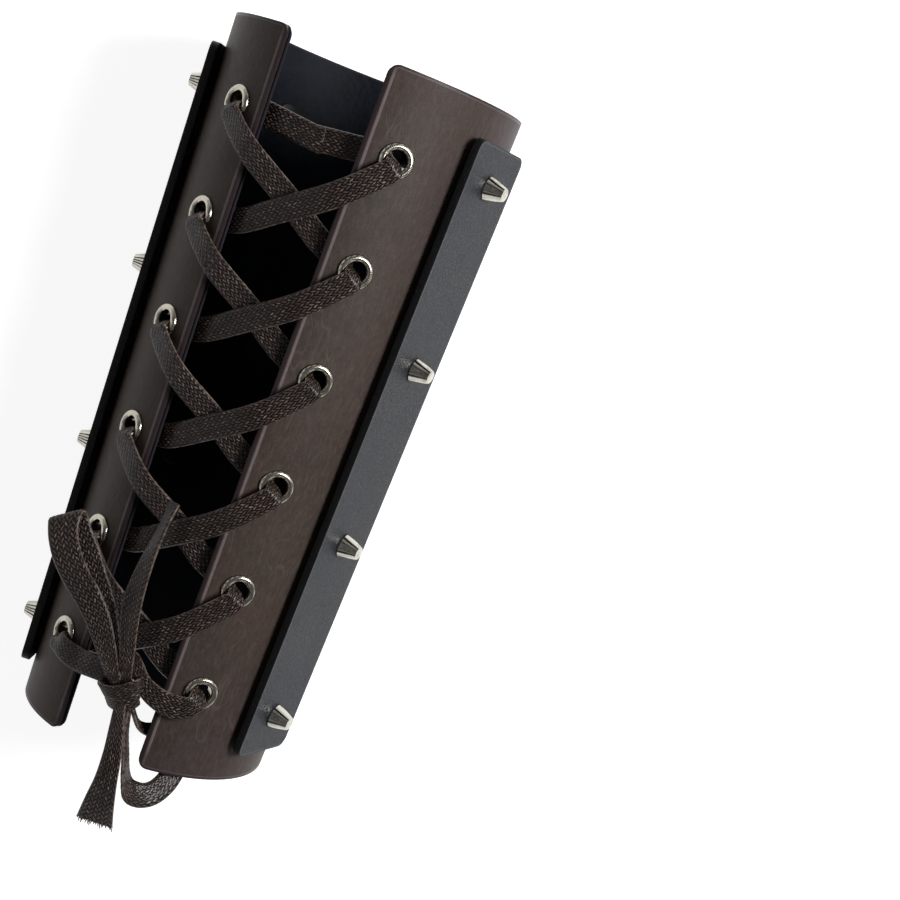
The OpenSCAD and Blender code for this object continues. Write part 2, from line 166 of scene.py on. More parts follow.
def vectorMath(operation, *values):
    return mathNode("ShaderNodeVectorMath", values, operation=operation)


def ramp(value, low, high):  # smooth step from 0 to 1 between two values
    return mathNode("ShaderNodeMapRange", (value, low, high), interpolation_type="SMOOTHSTEP")


def scaled(vector, factor):
    return fromNode(vector.tree, "ShaderNodeVectorMath", {0: vector, "Scale": factor}, operation="SCALE")


def joined(tree, x, y, z):
    return fromNode(tree, "ShaderNodeCombineXYZ", {0: x, 1: y, 2: z})


def split(vector):
    made = addNode(vector.tree, "ShaderNodeSeparateXYZ", {0: vector})
    return [output(made, i) for i in range(3)]


# geometry trees
def newTree(name, sockets):
    tree = bpy.data.node_groups.new(name, "GeometryNodeTree")
    tree.is_modifier = True
    kinds = {int: "NodeSocketInt", float: "NodeSocketFloat"}
    tree.interface.new_socket(name="Geometry", in_out="INPUT", socket_type="NodeSocketGeometry")
    for label, value in sockets.items():
        made = tree.interface.new_socket(name=label, in_out="INPUT", socket_type=kinds[type(value)])
        made.default_value = value
    tree.interface.new_socket(name="Material", in_out="INPUT", socket_type="NodeSocketMaterial")
    tree.interface.new_socket(name="Geometry", in_out="OUTPUT", socket_type="NodeSocketGeometry")
    start = addNode(tree, "NodeGroupInput")
    return tree, {s.name: Wire(tree, s) for s in start.outputs if s.name}


def closeTree(tree, geometry, material):  # every tree ends in these two nodes
    real = fromNode(tree, "GeometryNodeRealizeInstances", {"Geometry": geometry})
    painted = fromNode(tree, "GeometryNodeSetMaterial", {"Geometry": real, "Material": material})
    addNode(tree, "NodeGroupOutput", {0: painted})
    return tree


def keepAttribute(tree, geometry, name, value, kind="FLOAT"):
    return fromNode(tree, "GeometryNodeStoreNamedAttribute", {
        "Geometry": geometry, "Name": name, "Value": value,
    }, data_type=kind, domain="POINT")


def namedAttribute(tree, name, kind="FLOAT_VECTOR"):
    return fromNode(tree, "GeometryNodeInputNamedAttribute", {"Name": name}, "Attribute", data_type=kind)


def addPiece(name, data):
    piece = bpy.data.objects.new(name, data)
    scene.collection.objects.link(piece)
    return piece


def plainMesh(holder):
    bpy.context.view_layer.update()
    graph = bpy.context.evaluated_depsgraph_get()
    return bpy.data.meshes.new_from_object(
        holder.evaluated_get(graph), preserve_all_data_layers=True, depsgraph=graph
    )


def grow(name, tree, base, material, values=None, matrix=layMatrix):
    # runs a tree on a base mesh and keeps the result as a plain mesh object
    holder = addPiece(name + "Source", base)
    modifier = holder.modifiers.new("shape", "NODES")
    modifier.node_group = tree
    given = {**(values or {}), "Material": material}
    for item in tree.interface.items_tree:
        if item.in_out == "INPUT" and item.name in given:
            modifier[item.identifier] = given[item.name]
    mesh = plainMesh(holder)
    bpy.data.objects.remove(holder)
    mesh.name = name
    mesh.transform(matrix)
    return addPiece(name, mesh)


def smooth(piece, sharpAbove):
    piece.data.shade_smooth()
    piece.data.set_sharp_from_angle(angle=math.radians(sharpAbove))


def thicken(piece, thickness, bevel):
    # turns an open sheet away from the tube, thickens it inwards and rounds its edges, in mm
    middle = piece.data.polygons[len(piece.data.polygons) // 2]
    if middle.normal.dot(middle.center - axisMiddle) < 0:
        piece.data.flip_normals()
    solid = piece.modifiers.new("thickness", "SOLIDIFY")
    solid.thickness = thickness * mm
    solid.offset = -1.0
    soft = piece.modifiers.new("edges", "BEVEL")
    soft.width = bevel * mm
    soft.segments = rounding["segments"]
    soft.angle_limit = math.radians(rounding["bevelAbove"])
    sheet = piece.data
    piece.data = plainMesh(piece)
    piece.modifiers.clear()
    bpy.data.meshes.remove(sheet)
    piece.data.name = piece.name
    smooth(piece, rounding["sheetSharp"])


def faceOut(piece):  # for closed meshes
    work = bmesh.new()
    work.from_mesh(piece.data)
    bmesh.ops.remove_doubles(work, verts=work.verts, dist=rounding["weld"])
    bmesh.ops.recalc_face_normals(work, faces=work.faces)
    work.to_mesh(piece.data)
    work.free()


def pointsMesh(name, places, **vectors):
    mesh = bpy.data.meshes.new(name)
    edges = [(i, i + 1) for i in range(len(places) - 1)] if "band" in vectors else []
    mesh.from_pydata([tuple(p) for p in places], edges, [])
    for key, values in vectors.items():
        made = mesh.attributes.new(key, "FLOAT_VECTOR", "POINT")
        made.data.foreach_set("vector", np.array([tuple(v) for v in values], np.float32).ravel())
    return mesh


def cornered(u, v, reachU, reachV, r):
    # rounds the corners of a unit grid whose sides are reachU and reachV long, with corner radius r;
    # gives the new place from 0 to 1 and the distance from the outline, up to r
    fromU = calc("MINIMUM", u, 1 - u) * reachU
    fromV = calc("MINIMUM", v, 1 - v) * reachV
    a = calc("MAXIMUM", (r - fromU) / r, 0.0)
    b = calc("MAXIMUM", (r - fromV) / r, 0.0)
    roundA = a * calc("SQRT", 1 - b * b * 0.5)
    roundB = b * calc("SQRT", 1 - a * a * 0.5)
    newU = u + calc("SIGN", 0.5 - u) * (a - roundA) * r / reachU
    newV = v + calc("SIGN", 0.5 - v) * (b - roundB) * r / reachV
    near = (1 - calc("SQRT", roundA * roundA + roundB * roundB)) * r
    return newU, newV, near


def unitGrid(tree, columns, rows):  # a flat grid with its places across and along, 0 to 1
    grid = fromNode(tree, "GeometryNodeMeshGrid", {
        "Size X": 1.0, "Size Y": 1.0, "Vertices X": columns, "Vertices Y": rows,
    })
    x, y, _ = split(fromNode(tree, "GeometryNodeInputPosition"))
    return grid, x + 0.5, y + 0.5


def crowded(t, crowd):  # pulls a grid's lines towards both ends
    return t - calc("SINE", t * math.tau) * (crowd / math.tau)


def rolledSheetTree(sizes, crowdU, crowdV):
    # a sheet rolled into an open tapered tube, with holes where the input's points are
    tree, given = newTree("rolledSheet", sizes)
    sheet, u, v = unitGrid(tree, given["Columns"], given["Rows"])
    u, v = crowded(u, crowdU), crowded(v, crowdV)
    growth = given["Elbow Radius"] - given["Wrist Radius"]
    sweep = math.tau - given["Gap Half Angle"] * 2
    across = sweep * (given["Wrist Radius"] + growth * v)
    u, v, edge = cornered(u, v, across, given["Length"], given["Corner Radius"])
    angle = given["Gap Half Angle"] + u * sweep
    r = given["Wrist Radius"] + growth * v
    side = calc("MINIMUM", u, 1 - u) * sweep * r
    near = calc("MAXIMUM", 1 - side / given["Edge Reach"], 0.0)
    r = r - (1 - calc("SQRT", 1 - near * near * tube["edgeEase"])) * given["Edge Drop"]
    place = joined(tree, r * calc("SINE", angle), -1.0 * r * calc("COSINE", angle), v * given["Length"])
    sheet = keepAttribute(tree, sheet, "edgeNear", edge)
    sheet = keepAttribute(tree, sheet, "flapNear", side)
    sheet = fromNode(tree, "GeometryNodeSetPosition", {"Geometry": sheet, "Position": place})
    # what lies inside a hole is drawn to its rim, and the faces left there go
    position = fromNode(tree, "GeometryNodeInputPosition")
    nearest = addNode(tree, "GeometryNodeProximity", {
        0: given["Geometry"], "Sample Position": position,
    }, target_element="POINTS")
    middle, reach = output(nearest, "Position"), given["Hole Radius"]
    inside = calc("LESS_THAN", output(nearest, "Distance"), reach)
    sheet = keepAttribute(tree, sheet, "inHole", inside, "BOOLEAN")
    chosen = namedAttribute(tree, "inHole", "BOOLEAN")
    outwards = vectorMath("NORMALIZE", vectorMath("SUBTRACT", position, middle))
    rim = vectorMath("ADD", middle, scaled(outwards, reach))
    sheet = fromNode(tree, "GeometryNodeSetPosition", {
        "Geometry": sheet, "Selection": chosen, "Position": rim,
    })
    sheet = fromNode(tree, "GeometryNodeDeleteGeometry", {
        "Geometry": sheet, "Selection": chosen,
    }, domain="FACE")
    sheet = fromNode(tree, "GeometryNodeRemoveAttribute", {"Geometry": sheet, "Name": "inHole"})
    return closeTree(tree, sheet, given["Material"])


def cutPlateTree(sizes, crowd):
    # a flat tapered plate with rounded corners, x sideways and y along it
    tree, given = newTree("cutPlate", sizes)
    plate, u, v = unitGrid(tree, given["Columns"], given["Rows"])
    u, v = crowded(u, crowd), crowded(v, crowd)
    growth = given["Elbow Width"] - given["Wrist Width"]
    width = given["Wrist Width"] + growth * v
    u, v, near = cornered(u, v, width, given["Length"], given["Corner Radius"])
    width = given["Wrist Width"] + growth * v
    place = joined(tree, (u - 0.5) * width, v * given["Length"], given["Height"])
    plate = keepAttribute(tree, plate, "edgeNear", near)
    plate = fromNode(tree, "GeometryNodeSetPosition", {"Geometry": plate, "Position": place})
    return closeTree(tree, plate, given["Material"])


def standOnPoints(tree, given, shape, outward, scale=(1, 1, 1)):
    # closes a tree with a shape on every point of the input, turned by its two vectors
    turn = fromNode(tree, "FunctionNodeAxesToRotation", {
        "Primary Axis": outward, "Secondary Axis": namedAttribute(tree, "upward"),
    }, primary_axis="Z", secondary_axis="Y")
    placed = fromNode(tree, "GeometryNodeInstanceOnPoints", {
        "Points": given["Geometry"], "Instance": shape, "Rotation": turn, "Scale": scale,
    })
    return closeTree(tree, placed, given["Material"])


turned = {"sides": 48, "weld": 0.002}  # for studs, screws, eyelets and washers


def turnedTree(name, sizes, profile):
    # a turned fastener, whose profile(given) lists its rings as (radius, height), first to last
    tree, given = newTree(name, sizes)
    rings, plain = profile(given), profile(sizes)
    parts = addNode(tree, "GeometryNodeJoinGeometry")
    for i in range(len(rings) - 1):
        low, high = (i, i + 1) if plain[i][1] <= plain[i + 1][1] else (i + 1, i)
        depth = rings[high][1] - rings[low][1] if plain[high][1] > plain[low][1] else 0.0
        cone = fromNode(tree, "GeometryNodeMeshCone", {
            "Vertices": turned["sides"], "Radius Bottom": rings[low][0],
            "Radius Top": rings[high][0], "Depth": depth,
        }, fill_type="NONE")
        raised = addNode(tree, "GeometryNodeTransform", {
            "Geometry": cone, "Translation": joined(tree, 0.0, 0.0, rings[low][1]),
        })
        tree.links.new(raised.outputs[0], parts.inputs[0])
    whole = fromNode(tree, "GeometryNodeMergeByDistance", {
        "Geometry": output(parts), "Distance": turned["weld"],
    })
    return standOnPoints(tree, given, whole, namedAttribute(tree, "outward"))


# the weave of the lace, in mm
plait = {
    "strands": 9.0,
    "pitch": 1.95,
    "relief": 0.36,
    "level": 0.6,
    "dive": 0.35,
    "selvage": (0.9, 0.97),
    "selvageRelief": 0.8,
    "pointsAround": 65,
    "weld": 0.001,
}


def plaitRelief(across, along, strands, pitch):
    # two strand families cross, each over two of the other and under the next two
    s = along / pitch
    a = across * strands * 0.5
    first, second = a + s, a - s
    cell = calc("FLOORED_MODULO", calc("FLOOR", first) + calc("FLOOR", second), 4.0)
    firstOver = calc("LESS_THAN", cell, 1.5)
    reliefs = []
    for mine, other, start in ((first, second, 0.0), (second, first, 2.0)):
        bow = calc("FRACT", mine) * 2 - 1
        run = (cell - start + calc("FRACT", other)) * 0.5
        swell = plait["dive"] + calc("SINE", run * math.pi) * (1 - plait["dive"])
        reliefs.append((1 - bow * bow) * swell)
    relief = reliefs[1] + firstOver * (reliefs[0] - reliefs[1])
    rim = ramp(calc("ABSOLUTE", across), *plait["selvage"])
    return calc("MAXIMUM", relief * (1 - rim), rim * plait["selvageRelief"])


def braidTree(sizes):
    # a flat braid along the input's edges, which hold its width direction and [width, thickness]
    tree, given = newTree("flatBraid", sizes)
    path = fromNode(tree, "GeometryNodeMeshToCurve", {0: given["Geometry"]})
    length = fromNode(tree, "GeometryNodeCurveLength", {0: path})
    ribbon, u, v = unitGrid(tree, given["Points Around"], given["Rings"])
    ring = calc("ROUND", v * (given["Rings"] - 1))
    along = calc("DIVIDE", ring - 1, given["Rings"] - 3, clamp=True)
    atEnd = calc("LESS_THAN", ring, 0.5) + calc("GREATER_THAN", ring, given["Rings"] - 1.5)
    sides, bands = [addNode(tree, "GeometryNodeSampleCurve", {
        "Curves": path, "Value": namedAttribute(tree, name), "Factor": along,
    }, data_type="FLOAT_VECTOR") for name in ("side", "band")]
    middle, tangent = output(sides, "Position"), output(sides, "Tangent")
    side = vectorMath("NORMALIZE", output(sides, "Value"))
    width, depth, _ = split(output(bands, "Value"))
    thick = vectorMath("NORMALIZE", vectorMath("CROSS_PRODUCT", side, tangent))
    straight = vectorMath("CROSS_PRODUCT", tangent, thick)
    lean = scaled(vectorMath("SUBTRACT", side, straight), given["Slant"])
    wide = vectorMath("NORMALIZE", vectorMath("ADD", straight, lean))
    across = calc("ABSOLUTE", u * 4 - 2) - 1  # 1 to -1 on one face and back on the other
    face = calc("SIGN", 0.5 - u)
    relief = plaitRelief(across, along * length, given["Strands"], given["Strand Pitch"])
    sixth = calc("POWER", calc("ABSOLUTE", across), 6.0)
    rounded = calc("SQRT", calc("MAXIMUM", 1 - sixth, 0.0))
    height = rounded * (depth * 0.5 + (relief - plait["level"]) * given["Relief"] * 0.5)
    keep = 1 - atEnd  # the first and last rings shrink to a point and close the ends
    place = vectorMath("ADD", middle, scaled(wide, across * width * 0.5 * keep))
    place = vectorMath("ADD", place, scaled(thick, face * height * keep))
    ribbon = keepAttribute(tree, ribbon, "bandAcross", across)
    ribbon = keepAttribute(tree, ribbon, "bandAlong", along * length)
    ribbon = fromNode(tree, "GeometryNodeSetPosition", {"Geometry": ribbon, "Position": place})
    ribbon = fromNode(tree, "GeometryNodeMergeByDistance", {
        "Geometry": ribbon, "Distance": plait["weld"],
    })
    return closeTree(tree, ribbon, given["Material"])


# colours and surfaces
def paint(red, green, blue):  # a colour as a screen shows it, 0 to 255
    def linear(c):
        c = c / 255
        return c / 12.92 if c <= 0.04045 else ((c + 0.055) / 1.055) ** 2.4
    return (linear(red), linear(green), linear(blue), 1.0)


alongTube = (1.0, 0.3, 1.0)  # a Mapping scale that draws patterns out along the tube


def emptyTree(owner):
    owner.use_nodes = True
    owner.node_tree.nodes.clear()
    return owner.node_tree


def newMaterial(name, **settings):
    made = bpy.data.materials.new(name)
    tree = emptyTree(made)
    shader = addNode(tree, "ShaderNodeBsdfPrincipled")
    addNode(tree, "ShaderNodeOutputMaterial", {"Surface": output(shader)})
    for key, value in settings.items():
        shader.inputs[key.replace("_", " ")].default_value = value
    return made, tree, shader


def objectSpot(tree, stretch=(1, 1, 1), turn=(0, 0, 0)):
    spot = fromNode(tree, "ShaderNodeTexCoord", key="Object")
    return fromNode(tree, "ShaderNodeMapping", {"Vector": spot, "Scale": stretch, "Rotation": turn})


def noise(spot, scale, detail, rough=0.5, warp=0.0):
    return fromNode(spot.tree, "ShaderNodeTexNoise", {
        "Vector": spot, "Scale": scale, "Detail": detail, "Roughness": rough, "Distortion": warp,
    })


def cells(spot, scale, kind):
    return fromNode(
        spot.tree, "ShaderNodeTexVoronoi", {"Vector": spot, "Scale": scale}, "Distance", feature=kind
    )


def blendColour(factor, first, second):
    return fromNode(
        factor.tree, "ShaderNodeMix", {0: factor, 6: first, 7: second}, 2, data_type="RGBA"
    )


def layered(look, maps):
    # lays tones over the base, each with its pattern, its tone, its share and where it ramps up
    colour = look["base"]
    for name, tone, share, *reach in look["layers"]:
        cover = ramp(maps[name], *reach) if reach else maps[name]
        colour = blendColour(cover * share, colour, look[tone])
    return colour


def shaderAttribute(tree, name):
    return fromNode(tree, "ShaderNodeAttribute", key="Fac", attribute_type="GEOMETRY", attribute_name=name)


noiseMiddle = 0.5


def dress(shader, look, maps):
    # gives a shader its tones, its uneven roughness and its relief, from the look and its patterns
    tree = shader.id_data
    rough, height = look["roughness"], 0.0
    for name, amount in look["uneven"].items():
        rough = rough + (maps[name] - noiseMiddle if name in look["noises"] else maps[name]) * amount
    for name, amount in look["relief"].items():
        height = height + maps[name] * amount
    normal = fromNode(tree, "ShaderNodeBump", {
        "Strength": look["bumpStrength"], "Distance": look["bumpDepth"], "Height": height,
    })
    for key, value in (("Base Color", layered(look, maps)), ("Roughness", rough), ("Normal", normal)):
        plug(tree, shader.inputs[key], value)


def noises(spot, look):
    # rows of scale, detail, roughness and warp, some with how the pattern is stretched and turned
    return {
        name: noise(objectSpot(spot.tree, *row[4:]) if row[4:] else spot, *row[:4])
        for name, row in look["noises"].items()
    }


def makeShellLeather():
    look = {
        "base": paint(67, 59, 54),
        "deep": paint(52, 45, 41),
        "warm": paint(71, 57, 51),
        "plum": paint(66, 57, 57),
        "crease": paint(90, 81, 75),
        "edge": paint(56, 45, 48),
        # the pale arris tone is a painted highlight along the rounded edge
        "arrisHighlight": paint(130, 117, 117),
        "layers": (
            ("cloud", "warm", 1.0, 0.35, 0.68),
            ("broad", "plum", 1.0, 0.45, 0.7),
            ("mottle", "deep", 0.55, 0.45, 0.75),
            ("hair", "deep", 0.45, 0.5, 0.7),
            ("hair", "crease", 0.3, 0.5, 0.3),
            ("fine", "crease", 0.35, 0.5, 0.75),
            ("creased", "crease", 0.6),
            ("painted", "edge", 0.85),
            # the worn map lays the painted arris highlight
            ("worn", "arrisHighlight", 1.0),
        ),
        "noises": {
            "cloud": (22.0, 5.0, 0.6, 0.4),
            "broad": (8.0, 2.0),
            "mottle": (60.0, 6.0, 0.7),
            "fine": (900.0, 3.0, 0.7),
            "hair": (900.0, 3.0, 0.6, 0.0, alongTube, (0.0, 0.0, 0.35)),
            "creases": (52.0, 2.0, 0.45, 0.4, alongTube, (0.3, 0.2, 0.5)),
            "crossCreases": (84.0, 2.0, 0.45, 0.4, alongTube, (0.3, 0.2, -0.7)),
            "patches": (33.0, 2.0),
            "gaps": (95.0, 1.0),
        },
        "creaseWidth": 0.011,
        "crossShare": 0.8,
        "creaseWhere": {"patches": (0.44, 0.58), "gaps": (0.44, 0.54)},
        "grainScale": 1150.0,
        "grainWidth": 0.12,
        "rimBand": 1.1,
        "paintEnd": (0.8, 1.0),
        "arrisHighlightStart": (0.5, 0.72),
        "arrisHighlightEnd": (0.92, 1.06),
        "arrisHighlightShare": (0.5, 0.6),
        "flapEnds": (0.113, 0.118),
        "flapEndShade": 0.6,
        "roughness": 0.5,
        "uneven": {"fine": 0.16, "cloud": 0.14, "creased": 0.1, "painted": -0.14},
        "relief": {"grain": 0.35, "fine": 0.3, "creased": -0.9, "hair": 0.3},
        "bumpDepth": 0.00009,
        "bumpStrength": 0.6,
    }
    made, tree, shader = newMaterial("brownLeather", Specular_IOR_Level=0.16)
    spot = objectSpot(tree)
    maps = noises(spot, look)
    maps["grain"] = ramp(cells(spot, look["grainScale"], "DISTANCE_TO_EDGE"), 0.0, look["grainWidth"])
    # long faint creases, where a warped noise crosses its middle, in patches
    veins = [
        1 - ramp(calc("ABSOLUTE", maps[name] - noiseMiddle), 0.0, look["creaseWidth"])
        for name in ("creases", "crossCreases")
    ]
    maps["creased"] = calc("MAXIMUM", veins[0], veins[1] * look["crossShare"])
    for name, reach in look["creaseWhere"].items():
        maps["creased"] = maps["creased"] * ramp(maps[name], *reach)
    # the cut edges are rubbed with paint, and beside them runs a pale line that is a painted highlight on
    # the arris, weaker near the rims
    near = shaderAttribute(tree, "edgeNear") / look["rimBand"]
    band = calc("MINIMUM", near, shaderAttribute(tree, "flapNear") / tube["edgeReach"])
    maps["painted"] = 1 - ramp(band, *look["paintEnd"])
    # worn: the band where the painted arris highlight lies
    worn = ramp(band, *look["arrisHighlightStart"]) * (1 - ramp(band, *look["arrisHighlightEnd"]))
    _, lengthways, _ = split(spot)
    flap = 1 - ramp(calc("ABSOLUTE", lengthways), *look["flapEnds"]) * look["flapEndShade"]
    least, more = look["arrisHighlightShare"]
    maps["worn"] = worn * flap * (least + maps["fine"] * more)
    dress(shader, look, maps)
    return made


def makeLiningLeather():
    look = {
        "base": paint(14, 18, 28),
        "worn": paint(27, 32, 42),
        "edge": paint(62, 54, 58),
        "layers": (("cloud", "worn", 0.8, 0.4, 0.7), ("rim", "edge", 0.6)),
        "noises": {"cloud": (60.0, 5.0, 0.65), "fine": (1500.0, 2.0)},
        "pebbleScale": 520.0,
        "rimEnd": (0.3, 0.8),
        "roughness": 0.6,
        "uneven": {"cloud": 0.2},
        "relief": {"pebbles": 0.8, "fine": 0.3},
        "bumpDepth": 0.00028,
        "bumpStrength": 0.7,
    }
    made, tree, shader = newMaterial("darkLining", Specular_IOR_Level=0.14)
    spot = objectSpot(tree)
    maps = noises(spot, look)
    maps["pebbles"] = 1 - cells(spot, look["pebbleScale"], "SMOOTH_F1")
    maps["rim"] = 1 - ramp(shaderAttribute(tree, "edgeNear"), *look["rimEnd"])
    dress(shader, look, maps)
    return made


def makeSplintLeather():
    look = {
        "base": paint(14, 16, 21),
        "pale": paint(25, 29, 36),
        # a reddish-brown tone for a painted reflection of the brown shell
        "shellReflectionTone": paint(66, 41, 31),
        # the pale edge tone is painted light: the bevel's highlight and the grain's glints
        "edge": paint(74, 78, 86),
        # the side tone is black edge paint, darkened further as painted shade
        "side": paint(8, 8, 10),
        "layers": (
            ("cloud", "pale", 1.0, 0.35, 0.7),
            # pale specks on the grain: painted glints
            ("glintSpeck", "edge", 0.45),
            # the painted reflection of the brown shell, near the edges
            ("shellReflection", "shellReflectionTone", 0.3),
            # the bevel map lays a painted highlight along the plate's edge
            ("bevel", "edge", 1.0),
            ("sidePaintAndShade", "side", 1.0),
        ),
        "noises": {
            "cloud": (26.0, 6.0, 0.65, 0.3),
            "rubbed": (14.0, 4.0, 0.6, 0.0, alongTube),
            "fine": (1600.0, 3.0, 0.7),
            "dots": (1100.0, 2.0, 0.6),
            "scratches": (260.0, 2.0, 0.5, 0.0, (3.0, 0.12, 3.0), (0.0, 0.0, 0.2)),
        },
        "pebbleScale": 1100.0,
        "pebbleWidth": 0.1,
        "glintSpeckSize": (0.05, 0.2),
        "glintSpeckDots": (0.42, 0.6),
        "scratchSize": (0.6, 0.75),
        "shellReflectionPatch": (0.48, 0.7),
        "shellReflectionEnd": (0.5, 4.5),
        "edgeHighlightStart": (0.25, 0.5),
        "edgeHighlightEnd": (0.7, 1.1),
        "edgeHighlightShare": (0.2, 0.6),
        "sidePaintAndShadeEnd": (0.15, 0.4),
        "roughness": 0.46,
        "uneven": {"cloud": 0.2, "fine": 0.16},
        "relief": {"pebbles": 0.5, "fine": 0.35, "scratched": 0.3},
        "bumpDepth": 0.00014,
        "bumpStrength": 0.8,
    }
    made, tree, shader = newMaterial("blackLeather", Specular_IOR_Level=0.22)
    spot = objectSpot(tree)
    maps = noises(spot, look)
    pebbles = cells(spot, look["pebbleScale"], "DISTANCE_TO_EDGE")
    maps["pebbles"] = ramp(pebbles, 0.0, look["pebbleWidth"])
    # pale specks on the pebble cells are painted glints
    maps["glintSpeck"] = ramp(pebbles, *look["glintSpeckSize"]) * ramp(maps["dots"], *look["glintSpeckDots"])
    maps["scratched"] = ramp(maps["scratches"], *look["scratchSize"])
    # distances from the face's outline, in mm
    near = shaderAttribute(tree, "edgeNear")
    # reddish-brown patches near the outline: a painted reflection of the brown shell beside the plate
    maps["shellReflection"] = ramp(maps["rubbed"], *look["shellReflectionPatch"]) * (1 - ramp(near, *look["shellReflectionEnd"]))
    # a pale line just inside the outline, patchy along the tube: a painted highlight on the bevel
    bevel = ramp(near, *look["edgeHighlightStart"]) * (1 - ramp(near, *look["edgeHighlightEnd"]))
    least, more = look["edgeHighlightShare"]
    maps["bevel"] = bevel * (least + maps["rubbed"] * more)
    # the cut sides: black edge paint, made darker still as painted shade
    maps["sidePaintAndShade"] = 1 - ramp(near, *look["sidePaintAndShadeEnd"])
    dress(shader, look, maps)
    return made


metals = {  # tone, worn tone and roughness
    "polishedNickel": (paint(176, 170, 158), paint(116, 110, 99), 0.2),
    "polishedGunmetal": (paint(190, 187, 177), paint(104, 100, 92), 0.07),
    # the screws' and washers' dark steel stands for the shade inside the tube: painted shade
    "shadedDarkSteel": (paint(44, 44, 46), paint(30, 29, 29), 0.44),
}


def makeMetal(name, tone, worn, roughness):
    look = {
        "base": tone,
        "worn": worn,
        "layers": (("smear", "worn", 0.5, 0.45, 0.75),),
        "noises": {
            "smear": (240.0, 4.0, 0.6),
            "scuffs": (900.0, 2.0, 0.6, 0.0, (1.0, 6.0, 1.0), (0.4, 0.7, 0.2)),
        },
        "roughness": roughness,
        "uneven": {"smear": 0.12, "scuffs": 0.08},
        "relief": {"scuffs": 1.0},
        "bumpDepth": 0.00002,
        "bumpStrength": 0.5,
    }
    made, tree, shader = newMaterial(name, Metallic=1.0)
    dress(shader, look, noises(objectSpot(tree), look))
    return made


def makeWaxedBraid():
    look = {
        "base": paint(62, 49, 45),
        "strand": paint(92, 75, 67),
        "warm": paint(74, 51, 43),
        # the gap tone is painted shade in the weave's hollows
        "gap": paint(3, 2, 2),
        # pale wax on the strands' tops, partly a painted glint
        "waxAndGlintTone": paint(204, 188, 176),
        "selvage": paint(126, 110, 102),
        "layers": (
            ("fleck", "strand", 1.0, 0.36, 0.62),
            ("cloud", "warm", 0.5, 0.45, 0.75),
            ("waxAndGlint", "waxAndGlintTone", 0.42),
            ("valleyShade", "gap", 1.0),
            ("rubbed", "selvage", 0.6),
        ),
        "noises": {"cloud": (70.0, 4.0, 0.6), "fleck": (620.0, 2.0, 0.6), "fibre": (2600.0, 2.0, 0.6)},
        "waxAndGlintWhere": {"fleck": (0.52, 0.64), "weave": (0.6, 0.95), "cloud": (0.36, 0.6)},
        "valleyShadeEnd": (0.28, 0.92),
        "selvageStart": (0.9, 0.95),
        "selvageFleck": (0.35, 0.6),
        "roughness": 0.5,
        "uneven": {"fleck": 0.3, "waxAndGlint": -0.15},
        "relief": {"weave": 1.0, "fibre": 0.2},
        "bumpDepth": 0.0004,
        "bumpStrength": 0.9,
    }
    made, tree, shader = newMaterial(
        "waxedBraid", Specular_IOR_Level=0.16, Coat_Weight=0.3, Coat_Roughness=0.2
    )
    maps = noises(objectSpot(tree), look)
    across = shaderAttribute(tree, "bandAcross")
    weave = plaitRelief(across, shaderAttribute(tree, "bandAlong"), plait["strands"], plait["pitch"])
    maps["weave"] = weave
    # pale flecks on the weave's high tops: wax, partly painted glints
    fleck, high, cloud = [ramp(maps[name], *reach) for name, reach in look["waxAndGlintWhere"].items()]
    maps["waxAndGlint"] = fleck * high * cloud
    # near-black where the weave sinks between strands: painted shade
    maps["valleyShade"] = 1 - ramp(weave, *look["valleyShadeEnd"])
    selvage = ramp(calc("ABSOLUTE", across), *look["selvageStart"])
    maps["rubbed"] = selvage * ramp(maps["fleck"], *look["selvageFleck"])
    dress(shader, look, maps)
    return made


def makePaleThread():
    look = {
        "base": paint(46, 37, 34),
        "pale": paint(196, 184, 172),
        "layers": (("streak", "pale", 1.0, 0.55, 0.66),),
        "noises": {"streak": (420.0, 4.0)},
    }
    made, tree, shader = newMaterial("paleThread", Roughness=0.7, Specular_IOR_Level=0.3)
    plug(tree, shader.inputs["Base Color"], layered(look, noises(objectSpot(tree), look)))
    return made


brownLeather = makeShellLeather()
darkLining = makeLiningLeather()
blackLeather = makeSplintLeather()
nickel, gunmetal, screwSteel = [makeMetal(name, *look) for name, look in metals.items()]
waxedBraid = makeWaxedBraid()
paleThread = makePaleThread()
print("materials made")

# the photograph's camera, fitted to the upright tube in mm
lens = {
    "place": (165.807, -530.370, 199.184),
    "right": (0.91166807, 0.21411286, 0.35073781),
    "down": (0.36926247, -0.05237107, -0.92784832),
    "ahead": (-0.18029575, 0.97540399, -0.12680887),
    "focal": 64.9416,
    "film": 36.0,
}
sight = Matrix((lens["right"], lens["down"], lens["ahead"])) @ layTurn.transposed()
cameraData = bpy.data.cameras.new("camera")
cameraData.lens = lens["focal"]
cameraData.sensor_width = lens["film"]
cameraData.clip_start = 0.01
camera = addPiece("camera", cameraData)

facing = Matrix((sight[0], -sight[1], -sight[2])).transposed().to_4x4()
facing.translation = laid(lens["place"])
camera.matrix_world = facing
scene.camera = camera
scene.view_settings.view_transform = "Standard"

